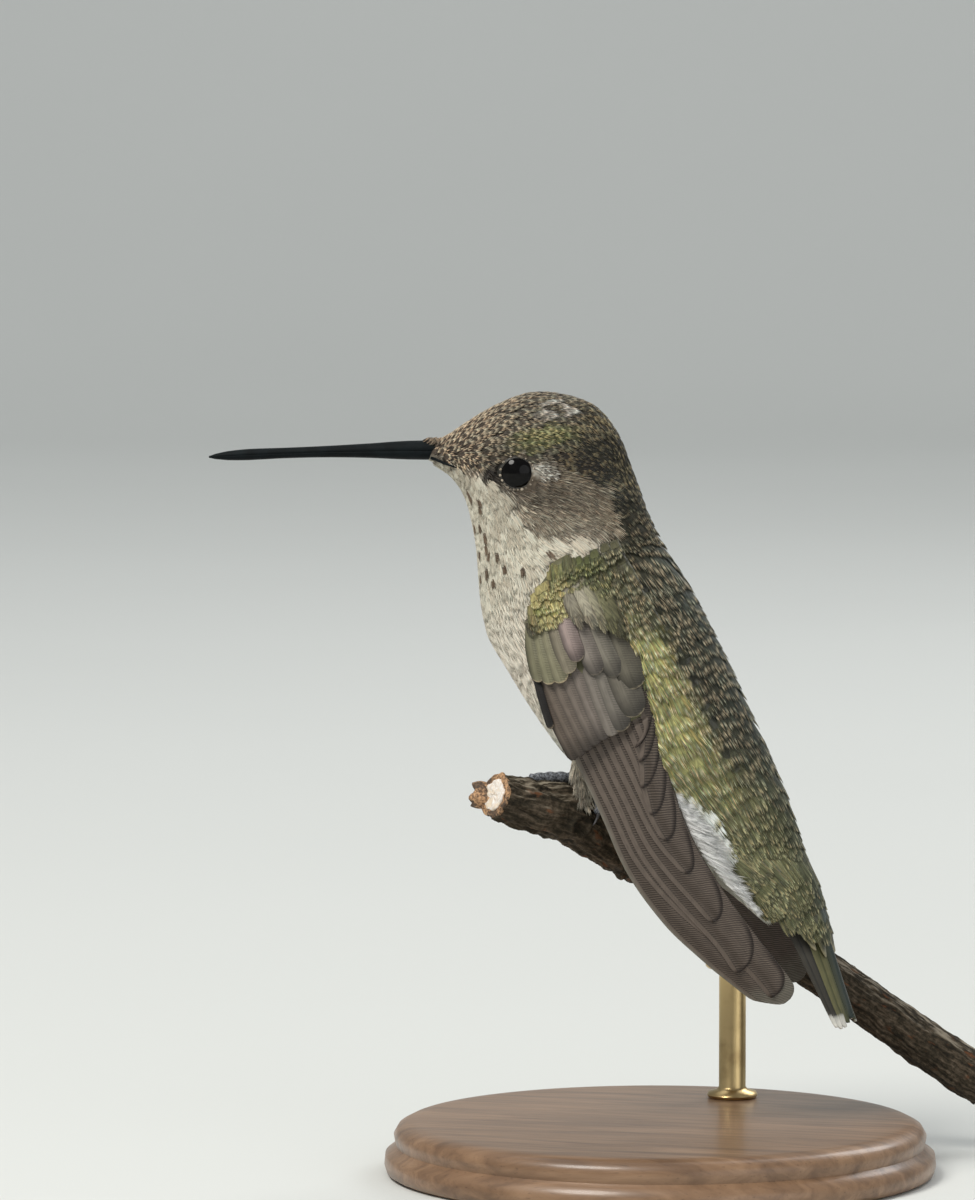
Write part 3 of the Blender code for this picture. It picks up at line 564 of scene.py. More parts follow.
def grow_on(rng, coat, tufts, place, angle, sizes, colours, direction, point_at, bake, looks, sway=0.1):
    """Tufts rooted on a surface and bent over it. point_at(place, angle, grow) gives its points."""
    ahead, across = metric(place, angle, direction, point_at)

    def put(chosen, x, y, rise):
        at = [start[chosen, None] + x * ahead[chosen, k, None] + y * across[chosen, k, None]
              for k, start in enumerate((place, angle))]
        return point_at(*at, rise)
    plant(rng, coat, tufts, len(place), sizes, colours, bake, looks, 0, sway, put)


def grow_free(rng, coat, tufts, root, ahead, normal, sizes, colours, bake, looks, curl=0, sway=0.1):
    """Tufts at free points, each along its own direction, lifted along its own normal."""
    ahead = normalised(ahead)
    normal = normalised(normal - ahead * (ahead * normal).sum(-1, keepdims=True))
    across = np.cross(normal, ahead)

    def put(chosen, x, y, rise):
        return (root[chosen, None] + x[..., None] * ahead[chosen, None] + y[..., None] * across[chosen, None]
                + rise[..., None] * normal[chosen, None])
    plant(rng, coat, tufts, len(root), sizes, colours, bake, looks, curl, sway, put)


# ---- materials
def times(colour, share):
    return tuple(share * value for value in colour)


class Value:
    """A socket of a material's nodes that takes part in sums."""

    def __init__(self, finish, socket):
        self.finish, self.socket = finish, socket

    def sum(self, operation, *terms):
        return self.finish.node("ShaderNodeMath", {"operation": operation}, dict(enumerate(terms)))

    def __add__(self, other):
        return self.sum("ADD", self, other)

    __radd__ = __add__

    def __sub__(self, other):
        return self.sum("SUBTRACT", self, other)

    def __rsub__(self, other):
        return self.sum("SUBTRACT", other, self)

    def __mul__(self, other):
        return self.sum("MULTIPLY", self, other)

    __rmul__ = __mul__

    def __truediv__(self, other):
        return self.sum("DIVIDE", self, other)

    def fract(self):
        return self.sum("FRACT", self)

    def absolute(self):
        return self.sum("ABSOLUTE", self)

    def between(self, low, high):
        """0 below low, 1 above high, smooth between."""
        return self.finish.node("ShaderNodeMapRange", {"interpolation_type": "SMOOTHSTEP"},
                                {"Value": self, "From Min": low, "From Max": high})


class Finish:
    """A material whose nodes are written as sums."""

    def __init__(self, name, roughness=0.6, **constants):
        self.material = bpy.data.materials.new(name)
        self.material.use_nodes = True
        self.nodes, self.links = self.material.node_tree.nodes, self.material.node_tree.links
        self.shader = self.nodes["Principled BSDF"]
        self.shader.inputs["Roughness"].default_value = roughness
        for socket, value in constants.items():
            self.shader.inputs[socket.replace("_", " ").title().replace("Ior", "IOR")].default_value = value

    def node(self, kind, settings=None, inputs=None, output=0):
        """Any node: its settings first, then the values or links of its sockets."""
        node = self.nodes.new(kind)
        for key, value in (settings or {}).items():
            setattr(node, key, value)
        for key, value in (inputs or {}).items():
            if isinstance(value, Value):
                self.links.new(value.socket, node.inputs[key])
            else:
                node.inputs[key].default_value = value
        return Value(self, node.outputs[output])

    def ramp(self, share, *stops):
        """Colours at some shares, smooth between."""
        result = self.node("ShaderNodeValToRGB", inputs={"Fac": share})
        elements = result.socket.node.color_ramp.elements
        while len(elements) < len(stops):
            elements.new(0.5)
        for element, (place, colour) in zip(elements, stops):
            element.position = place
            element.color = (*colour, 1)
        return result

    def drive(self, **values):
        """Link values to the shader's own sockets."""
        for socket, value in values.items():
            self.links.new(value.socket, self.shader.inputs[socket.replace("_", " ").title()])

    def attribute(self, name, output="Color"):
        return self.node("ShaderNodeAttribute", {"attribute_name": name}, output=output)

    def place(self):
        """The point on the piece in metres."""
        return self.node("ShaderNodeTexCoord", output="Object")

    def map(self, name):
        return self.node("ShaderNodeUVMap", {"uv_map": name})

    def parts(self, vector):
        """The three numbers of a vector."""
        node = self.node("ShaderNodeSeparateXYZ", inputs={"Vector": vector}).socket.node
        return [Value(self, socket) for socket in node.outputs]

    def vector(self, *values):
        return self.node("ShaderNodeCombineXYZ", inputs=dict(enumerate(values)))

    def scaled(self, vector, scale):
        """A vector times three numbers."""
        return self.node("ShaderNodeVectorMath", {"operation": "MULTIPLY"}, {0: vector, 1: scale})

    def mottle(self, vector, scale, detail=3, roughness=0.55, distortion=0):
        """Soft noise from 0 to 1."""
        return self.node("ShaderNodeTexNoise", inputs={"Vector": vector, "Scale": scale, "Detail": detail,
                                                       "Roughness": roughness, "Distortion": distortion})

    def mix(self, share, a, b, kind="MIX"):
        """Two colours mixed, each a colour or a link."""
        colours = [value if isinstance(value, Value) else (*value, 1) for value in (a, b)]
        return self.node("ShaderNodeMix", {"data_type": "RGBA", "blend_type": kind},
                         {0: share, 6: colours[0], 7: colours[1]}, output=2)

    def tinted(self, light):
        """The piece's own colours, lighter or darker by a share."""
        return self.mix(1, self.attribute("Tint"), self.vector(light, light, light), "MULTIPLY")

    def bump(self, height, strength, distance=0.0001):
        self.drive(Normal=self.node("ShaderNodeBump", inputs={
            "Height": height, "Strength": strength, "Distance": distance}))


def feather_finish(name, roughness, gloss, grain, fine=0.16):
    """Feathers coloured by the markings, their barbs drawn as streaks that slant from the shaft."""
    finish = Finish(name, roughness, sheen_weight=0.12, sheen_roughness=0.4, specular_ior_level=0.3)
    beside, along, _ = finish.parts(finish.map("Vane"))
    apart = finish.parts(finish.place())[2] * 500
    slanted = (beside.absolute() - along * 0.3) / fine
    streak = finish.mottle(finish.vector(slanted, along * 0.5, apart), 1, 2).between(0.3, 0.7)
    shade = streak * grain + (1 - grain / 2)
    finish.drive(Base_Color=finish.tinted(shade), Metallic=finish.attribute("Tint", "Alpha") * gloss)
    finish.bump(streak, 0.5, 0.00003)
    return finish.material


# ---- markings of the body
CROWN_LINE = ((-23, -19.5, -17.5, -16, -14, -12, -9, -6, -4, -1),
              (68, 67, 67, 67.6, 68.2, 67.9, 66.3, 65.2, 61.5, 55))
THROAT_LINE = ((-23, -20, -17, -15.7, -14.6, -13.9, -13, -11.2, -10, -9, -6.6, -4.8, 0),
               (67.2, 66.5, 65.4, 64.5, 63, 61.5, 60, 59.3, 60, 60.3, 59.7, 58.4, 55))
# Where the back's feathers end and the white of the flanks begins, in degrees from the ridge
BACK_EDGE = ((9.5, 10, 11, 12, 16, 17.6, 18.1, 18.6, 19.2, 20, 22),
             (62, 66, 75, 90, 92, 92, 83, 84, 89, 94, 98))
# Lie of the feathers on the head: X, Z and degrees below straight back
LIE = np.array((
    (-21, 69.5, -25), (-17, 71, -24), (-13, 73, -8), (-9, 73.2, 8), (-5.5, 71.5, 45), (-3.8, 68.5, 68),
    (-12, 70, 0), (-8, 69.5, 14), (-17, 68.5, -12), (-15.5, 67.9, -5), (-9.5, 66.8, 4), (-6, 65.5, 10),
    (-3.5, 65, 50), (-12.5, 63.8, 15), (-9, 63, 25), (-6, 62, 40), (-3, 61.5, 58), (-13, 61, 45),
    (-10, 60, 48), (-7, 59, 50), (-15.5, 63, 55), (-18.5, 65.5, 50), (-17.5, 62, 75), (-17, 58, 84),
    (-14, 57, 75), (-11, 56, 65), (-16, 53, 75)))
# Dark flecks of the throat: place, and degrees from the ridge
THROAT_SPOTS = (
    (4.3, 138), (4.7, 141), (5.4, 152), (6.1, 148), (6.65, 150), (7.25, 146), (7.6, 137), (8.1, 152),
    (8.55, 130), (9.2, 114), (9.12, 95), (3.4, 150), (5.2, 165), (6.9, 163), (8.4, 166), (9, 143))
# The white fan behind a folded wing: share along it, then X, Y, Z of where its barbs start, and of
# where they end
FLANK = (np.array(((0, 2.7, -6.6, 36.8), (0.35, 4.1, -6.2, 33.2), (0.6, 5.6, -5.8, 30.8),
                   (0.8, 7.8, -5.4, 28.2), (1, 10.5, -4.9, 25.9))),
         np.array(((0, 3.7, -6.6, 36.2), (0.25, 6.3, -6.3, 33.8), (0.5, 8.4, -5.8, 30.8),
                   (0.75, 9.5, -5.3, 27.9), (1, 10.9, -4.9, 25.2))))
COAT_PLACES = (0, 2, 4, 6, 8, 10, 13, 17, 21)        # where the coat's spacings and sizes are given
COAT_FROM, COAT_TO = 0.35, 22.3      # places of its first and last row
HEAD_TO, THROAT_TO, RUMP_FROM = 8.7, 9.5, 16.9       # places where one kind of feather follows another
SIDES_TO, RIDGE_TO, RUMP_TO = 20.8, 21.7, 22         # last places beside the tail, over it, of the rump
COVERED_ALONG, COVERED_INSET = (0.5, 19), (2.4, 2)   # the part of the body that a folded wing hides


def oval(x, z, centre, half, tilt=0):
    """1 inside an oval on the side of the head, fading to 0 at its rim."""
    tilt = math.radians(tilt)
    u = (x - centre[0]) * math.cos(tilt) + (z - centre[1]) * math.sin(tilt)
    v = (z - centre[1]) * math.cos(tilt) - (x - centre[0]) * math.sin(tilt)
    return 1 - ease(0.6, 1.25, np.hypot(u / half[0], v / half[1]))


def paint(colours, share, colour):
    """Lay a colour over others by its share."""
    return blend(colours, np.array(colour), share[:, None])


def mantle(place, angle):
    """How far the coat swells to lie over the upper edge of the folded wings."""
    turn = np.abs(np.degrees(wrapped(angle)))
    edge = np.interp(place, (12, 13.5, 15.3, 16.2, 17, 18), (68, 71, 74, 80, 88, 92))
    over = ease(40, 60, turn) * (1 - ease(edge - 6, edge + 6, turn))
    return 1.25 * over * ease(10.8, 12.4, place) * (1 - ease(16.6, 18.2, place))


def coat_point(place, angle, grow=0):
    return body_point(place, angle, grow + mantle(place, angle))


def lie_of_coat(place, angle):
    """The direction of the feathers: from a table on the head, then straight down the body."""
    x, _, z, turn = body_plain(place, angle)
    weight = 1 / (np.hypot(x[:, None] - LIE[:, 0], z[:, None] - LIE[:, 1]) + 0.3) ** 3
    dip = np.radians((weight * LIE[:, 2]).sum(1) / weight.sum(1))
    still = 0 * dip
    wanted = turned(np.cos(dip), still, -np.sin(dip), turn) - turned(still, still, still, turn)
    down = normalised(body_point(place + 0.05, angle) - body_point(place - 0.05, angle))
    return blend(wanted, down, ease(9, 11.5, place)[:, None])


class Markings:
    """What grows at roots on the body: kinds of feather, and their colours."""

    def __init__(self, rng, place, angle, paints):
        self.place, self.angle = place, angle
        self.x, _, self.z, _ = body_plain(place, angle)
        x, z = self.x, self.z
        self.turn = np.abs(np.degrees(wrapped(angle)))
        on_body = ease(9, 10.6, place)
        ragged = rng.uniform(-1, 1, place.shape)
        edge = np.interp(place, *BACK_EDGE)
        above_crown = ease(-0.35, 0.35, z - np.interp(x, *CROWN_LINE) + 0.25 * ragged)
        below_throat = ease(-0.8, 0.8, np.interp(x, *THROAT_LINE) - z + 0.8 * ragged)
        past_edge = ease(-5, 5, self.turn - edge + 3 * ragged)
        self.back = blend(above_crown, 1 - past_edge, on_body)
        self.white = blend(below_throat, past_edge, on_body) * (1 - self.back)
        self.cheek = np.clip(1 - self.back - self.white, 0, 1)
        self.gold = ease(40, 60, self.turn) * ease(11.8, 13.6, place) * (1 - ease(17, 18.6, place))
        self.spot = np.maximum(oval(x, z, (-11.7, 66.6), (0.8, 0.8)),
                               oval(x, z, (-10.9, 66), (0.7, 0.25), -25))
        self.paint_back(rng, paints)
        self.paint_face(rng)
        self.paint_white(rng, paints)

    def layered(self, count, core, rim, layers):
        """Start colours of centres and fringes, with layers (share, centre, fringe) laid over them."""
        core, rim = np.tile(core, (count, 1)), np.tile(rim, (count, 1))
        for share, dark, light in layers:
            core, rim = paint(core, share, dark), paint(rim, share, light)
        return core, rim

    def paint_back(self, rng, paints):
        x, z, place, turn = self.x, self.z, self.place, self.turn
        count = len(place)
        front = 1 - ease(0.8, 5.4, place)
        hind = ease(-10.5, -7.5, x + 0.4 * (72 - z)) * (1 - ease(8, 10, place))
        nape = ease(7, 10.5, place)
        green = oval(x, z, (-12.2, 69.6), (3.4, 1.1), 14)
        brow = oval(x, z, (-8.9, 67.3), (2.6, 1.1), -12)
        # painted highlight: half the feathers on the top of the crown are paled where the light falls
        wear_and_highlight = oval(x, z, (-10.9, 72.2), (2, 1)) * (rng.random(count) < 0.5)
        scruff = oval(x, z, (-3.6, 62), (2.2, 3.2), 20)
        rump = ease(15.5, 18.5, place)
        ridge = (1 - ease(8, 42, turn)) * ease(9, 12, place)
        shoulder = ease(34, 58, turn) * ease(9, 10.5, place) * (1 - self.gold)
        core, rim = self.layered(count, paints.crown, (0.23, 0.2, 0.14), (
            (front, (0.075, 0.056, 0.041), (0.58, 0.465, 0.32)),
            (0.9 * hind, (0.022, 0.02, 0.011), (0.22, 0.18, 0.1)),
            (0.75 * green, (0.085, 0.09, 0.03), (0.36, 0.34, 0.15)),
            (brow, (0.016, 0.012, 0.007), (0.17, 0.13, 0.07)),
            # painted highlight on the top of the crown, in centres and fringes
            (0.8 * wear_and_highlight, (0.3, 0.28, 0.24), (0.66, 0.63, 0.56)),
            (nape, paints.back, paints.back_rim),
            (0.75 * scruff, (0.02, 0.019, 0.012), (0.16, 0.135, 0.085)),
            (0.7 * shoulder, (0.078, 0.077, 0.038), (0.42, 0.37, 0.22)),
            (self.gold, paints.gold, paints.gold_rim),
            (0.85 * rump * (1 - 0.4 * self.gold), paints.rump, paints.rump_rim),
            (0.65 * ridge, paints.ridge, (0.27, 0.25, 0.18))))
        self.back_paint = core, rim, 0.1 + 0.25 * nape + 0.2 * self.gold

    def paint_face(self, rng):
        x, z = self.x, self.z
        tone = rng.random(len(x))
        dusk = oval(x, z, (-11.5, 64.3), (3.8, 1.5), -22)
        low = ease(0, 3.2, np.interp(x, *CROWN_LINE) - z - 1.8)
        pale = 1 - ease(0.2, 2.6, z - np.interp(x, *THROAT_LINE))
        ear = oval(x, z, (-5.4, 65), (1.5, 1), -30)
        lore = oval(x, z, (-16.2, 66.2), (1.6, 1.2), 15)
        core, rim = self.layered(len(x), (0.085, 0.064, 0.044), (0.31, 0.255, 0.18), (
            ((tone > 0.6) * 1, (0.2, 0.16, 0.115), (0.5, 0.43, 0.32)),
            (0.5 * low, (0.2, 0.17, 0.125), (0.5, 0.44, 0.34)),
            (0.4 * dusk, (0.05, 0.036, 0.024), (0.16, 0.12, 0.08)),
            (0.75 * pale, (0.32, 0.28, 0.215), (0.64, 0.57, 0.46)),
            (self.spot, (0.4, 0.38, 0.33), (0.66, 0.63, 0.56)),
            (0.8 * ear, (0.17, 0.145, 0.1), (0.46, 0.41, 0.31)),
            (lore, (0.018, 0.014, 0.01), (0.045, 0.035, 0.025))))
        self.cheek_paint = core, rim, 0 * tone

    def paint_white(self, rng, paints):
        place, count = self.place, len(self.place)
        chin = 1 - ease(8.5, 12, place)
        belly = ease(13, 17, place)
        flank = ease(17.4, 18.2, place) * (1 - ease(110, 125, self.turn))
        near_cheek = 1 - ease(0, 3.5, np.interp(self.x, *THROAT_LINE) - self.z)
        dusky = (rng.random(count) < 0.25 + 0.35 * near_cheek) * chin
        down, _ = self.layered(count, paints.breast, paints.breast, (
            (chin, paints.chin, paints.chin), (belly, paints.belly, paints.belly),
            (flank, (0.82, 0.83, 0.78), (0, 0, 0)), (0.45 * dusky, (0.3, 0.25, 0.18), (0, 0, 0))))
        self.white_paint = 0.9 * down, np.minimum(1.05 * down, 0.92), np.zeros(count)


def lay_rows(rng, paints):
    """Places and angles of feather roots in even, staggered rows from the bill to the tail."""
    place, angle = np.meshgrid(np.linspace(COAT_FROM, COAT_TO, 440), np.linspace(-math.pi, math.pi, 541),
                               indexing="ij")
    points = body_point(place, angle)
    marks = Markings(rng, place.ravel(), angle.ravel(), paints)
    shares = [value.reshape(place.shape) for value in (marks.back, marks.cheek, marks.white)]

    def spacing(back, cheek, white):
        return (shares[0] * np.interp(place, COAT_PLACES, back) + shares[1] * cheek
                + shares[2] * np.interp(place, COAT_PLACES, white))
    row = spacing((0.5, 0.6, 0.7, 0.76, 0.82, 1, 1.25, 1.7, 2.2), 0.58,
                  (0.36, 0.46, 0.56, 0.68, 0.78, 0.86, 1, 1.05, 1.15))
    column = spacing((0.62, 0.74, 0.84, 0.9, 0.97, 1.3, 1.7, 1.8, 1.8), 0.5,
                     (0.42, 0.5, 0.6, 0.72, 0.82, 0.95, 1.05, 1.15, 1.2))
    reach = np.linalg.norm(np.diff(points, axis=0), axis=-1) / ((row[1:] + row[:-1]) / 2)
    reach = np.concatenate([np.zeros((1, reach.shape[1])), np.cumsum(reach, axis=0)])
    places, angles, turn = [], [], angle[0]
    for number in range(int(reach.max())):
        level = number + 0.5
        at = np.array([np.interp(level, reach[:, j], place[:, 0], right=99) for j in range(len(turn))])
        inside = at < 90
        if inside.sum() < 3:
            continue
        at = np.minimum(at, place[-1, 0])
        line = body_point(at, turn)
        nearest = np.clip(np.searchsorted(place[:, 0], at), 0, len(place) - 1)
        gap = column[nearest, np.arange(len(turn))]
        step = np.linalg.norm(np.diff(line, axis=0), axis=-1) / ((gap[1:] + gap[:-1]) / 2)
        step = step * (inside[1:] & inside[:-1])
        total = np.concatenate([[0], np.cumsum(step)])
        count = max(1, round(total[-1]))
        wanted = (np.arange(count) + 0.5 * (number % 2) + rng.uniform(-0.2, 0.2, count)) * total[-1] / count
        found = np.interp(wanted, total, turn)
        angles.append(found)
        places.append(np.interp(found, turn, at) + rng.uniform(-0.06, 0.06, count))
    return np.concatenate(places), np.concatenate(angles)


def on_head(x, z, side, grow):
    """The point on one side of the head that has this X and Z before the head's turn."""
    place, angle = (values.ravel() for values in np.meshgrid(
        np.linspace(0, 9, 226), side * np.radians(np.linspace(15, 165, 226)), indexing="ij"))
    at_x, _, at_z, _ = body_plain(place, angle)
    nearest = [np.hypot(at_x - x, at_z - z).argmin()]
    return body_point(place[nearest], angle[nearest], grow)[0]


def clear_of_eyes(place, angle, length, ahead):
    """True for tufts that neither start nor end on an eye."""
    keep = np.ones(len(place), bool)
    for share in (0, 0.5, 1):
        x, _, z, _ = body_plain(place + share * length * ahead[:, 0], angle + share * length * ahead[:, 1])
        keep &= np.hypot(x - EYE_AT[0], z - EYE_AT[2]) >= EYE_CLEARING
    return keep


def under_wing(points):
    """True for points that a folded wing hides."""
    hidden = np.zeros(len(points), bool)
    x, z = points[:, 0] - SHOULDER[0], points[:, 2] - SHOULDER[1]
    across = x * WING_ACROSS[0] + z * WING_ACROSS[2]
    for side in (-1, 1):
        along = x * WING_ALONG[0] + z * WING_ALONG[2] + (FAR_WING_LIFT if side > 0 else 0)
        row = wing_row(np.clip(along, -2.8, 44.2))
        inside = (along > COVERED_ALONG[0]) & (along < COVERED_ALONG[1])
        inside &= (across > row[:, 1] + COVERED_INSET[0]) & (across < row[:, 2] - COVERED_INSET[1])
        hidden |= inside & (points[:, 1] * side > 0)
    return hidden


# ---- what a user would change
def colour_property(name, description, default):
    return bpy.props.FloatVectorProperty(name=name, description=description, default=default, size=3,
                                         subtype="COLOR", min=0, max=1)


class HUMMINGBIRD_PG_plumage(bpy.types.PropertyGroup):
    """Colours of the plumage, and how deep the coat is."""

    seed: bpy.props.IntProperty(name="Seed", description="Starts the small differences of the feathers",
                                default=7)
    head_depth: bpy.props.FloatProperty(name="Head coat", description="Depth of the coat on the head",
                                        default=0.0003, unit="LENGTH", precision=5)
    body_depth: bpy.props.FloatProperty(name="Body coat", description="Depth of the coat on the body",
                                        default=0.0007, unit="LENGTH", precision=5)
    crown: colour_property("Crown", "Centres of the crown's feathers", (0.045, 0.038, 0.026))
    back: colour_property("Back", "Centres of the back's feathers", (0.052, 0.054, 0.036))
    back_rim: colour_property("Back fringe", "Fringes of the back's feathers", (0.38, 0.33, 0.225))
    ridge: colour_property("Ridge", "Centres of the feathers along the spine", (0.045, 0.055, 0.047))
    gold: colour_property("Gold green", "Feathers beside the wings", (0.4, 0.385, 0.16))
    gold_rim: colour_property("Gold green fringe", "Fringes beside the wings", (0.66, 0.6, 0.38))
    rump: colour_property("Rump", "Centres of the tail coverts", (0.115, 0.118, 0.056))
    rump_rim: colour_property("Rump fringe", "Fringes of the tail coverts", (0.4, 0.37, 0.2))
    chin: colour_property("Chin", "Chin and throat", (0.62, 0.585, 0.48))
    breast: colour_property("Breast", "Breast", (0.78, 0.72, 0.61))
    belly: colour_property("Belly", "Belly and flanks", (0.69, 0.72, 0.64))


class HUMMINGBIRD_PG_horn(bpy.types.PropertyGroup):
    """Colours of the bill, the eyes and the feet."""

    bill: colour_property("Bill", "Horn of the bill", (0.004, 0.0065, 0.0075))
    eye: colour_property("Eye", "Iris and pupil", (0.0015, 0.0012, 0.0012))
    lid: colour_property("Lids", "Bare skin round the eyes", (0.05, 0.047, 0.04))
    foot: colour_property("Feet", "Scales of the toes", (0.065, 0.07, 0.08))
    claw: colour_property("Claws", "Horn of the claws", (0.05, 0.048, 0.05))


class HUMMINGBIRD_PG_stage(bpy.types.PropertyGroup):
    """The view and its light."""

    azimuth: bpy.props.FloatProperty(name="Azimuth", description="How far the camera stands towards the tail",
                                     default=math.radians(16), subtype="ANGLE")
    elevation: bpy.props.FloatProperty(name="Elevation", description="How far the camera looks down",
                                       default=math.radians(4), subtype="ANGLE")
    distance: bpy.props.FloatProperty(name="Distance", description="From the camera to the bird",
                                      default=0.629, unit="LENGTH")
    lens: bpy.props.FloatProperty(name="Lens", description="Focal length in millimetres", default=200)
    key: bpy.props.FloatProperty(name="Key light", description="Power of all the lights", default=1,
                                 subtype="POWER")


# ---- the body's pieces
def coat_depth(paints, place):
    """Depth of the coat in millimetres, from the head's to the body's."""
    return blend(paints.head_depth / MM, paints.body_depth / MM, ease(8.5, 11.5, place))


def skin_rings(paints):
    """Rings of the bare body, inside the coat, with their places and angles."""
    place, angle = np.meshgrid(np.linspace(0.05, 21.6, 170), full_turn(96), indexing="ij")
    depth = coat_depth(paints, place) + 0.25 * ease(20, 21.6, place)
    return body_point(place, angle, -depth), place, angle


def ellipsoid_rings(centre, half, rows=20, columns=24):
    dip, turn = np.meshgrid(np.linspace(0.04, math.pi - 0.04, rows), full_turn(columns), indexing="ij")
    unit = np.stack([np.sin(dip) * np.cos(turn), np.sin(dip) * np.sin(turn), np.cos(dip)], axis=-1)
    return np.array(centre) + unit * np.array(half)


def deselect():
    for obj in bpy.context.selected_objects:
        obj.select_set(False)


def only(obj):
    """Select one object and make it active."""
    deselect()
    obj.select_set(True)
    bpy.context.view_layer.objects.active = obj
    return obj


class HUMMINGBIRD_OT_skin(bpy.types.Operator):
    """One skin for the head, neck, trunk and thighs, inside the coat"""

    bl_idname = "hummingbird.skin"
    bl_label = "Skin"

    def execute(self, context):
        paints = context.scene.hummingbird_plumage
        rings, place, angle = skin_rings(paints)
        thigh_half = np.array(LEG_HALF) - (0.8, 0.7, 0.5)
        thighs = [closed_tube(ellipsoid_rings(np.array(centre) + (0.35, 0, 0), thigh_half))
                  for centre in LEG_AT.values()]
        skin = only(new_piece("skin", *joined([closed_tube(rings), *thighs])))
        remesh = skin.modifiers.new("One surface", "REMESH")
        remesh.mode = "VOXEL"
        remesh.voxel_size = 0.3 * MM
        bpy.ops.object.modifier_apply(modifier=remesh.name)
        smooth = skin.modifiers.new("Soften", "SMOOTH")
        smooth.iterations = 4
        bpy.ops.object.modifier_apply(modifier=smooth.name)
        skin.data.shade_smooth()
        self.colour(skin.data, rings, place, angle, paints)
        place_piece(skin, feather_finish("Skin under the feathers", 0.7, 0, 0.2), "body_feathers",
                    "head", "neck", "trunk", "leg_left", "leg_right")
        return {"FINISHED"}

    def colour(self, mesh, rings, place, angle, paints):
        """The coat's markings on the skin, and its own unwrap for baking."""
        flat = rings.reshape(-1, 3)
        tree = KDTree(len(flat))
        for index, point in enumerate(flat):
            tree.insert(point, index)
        tree.balance()
        found = np.array([tree.find(vertex.co / MM)[1] for vertex in mesh.vertices])
        place, angle = place.ravel()[found], wrapped(angle.ravel()[found])
        marks = Markings(np.random.default_rng(paints.seed), place, angle, paints)
        back, cheek, white = marks.back[:, None], marks.cheek[:, None], marks.white[:, None]
        tint = 0.8 * (back * marks.back_paint[0] + cheek * marks.cheek_paint[0])
        set_tint(mesh, glossed(tint + white * marks.white_paint[0], 0))
        corners = np.array([loop.vertex_index for loop in mesh.loops])
        spots = bake_map(place, angle)[corners]
        starts = np.array([polygon.loop_start for polygon in mesh.polygons])
        sizes = np.array([polygon.loop_total for polygon in mesh.polygons])
        wide = np.maximum.reduceat(spots[:, 0], starts) - np.minimum.reduceat(spots[:, 0], starts) > 0.5
        on_seam = np.repeat(wide, sizes) & (spots[:, 0] < 0.5)
        spots[on_seam, 0] = 1
        set_map(mesh, "OFBake", spots)


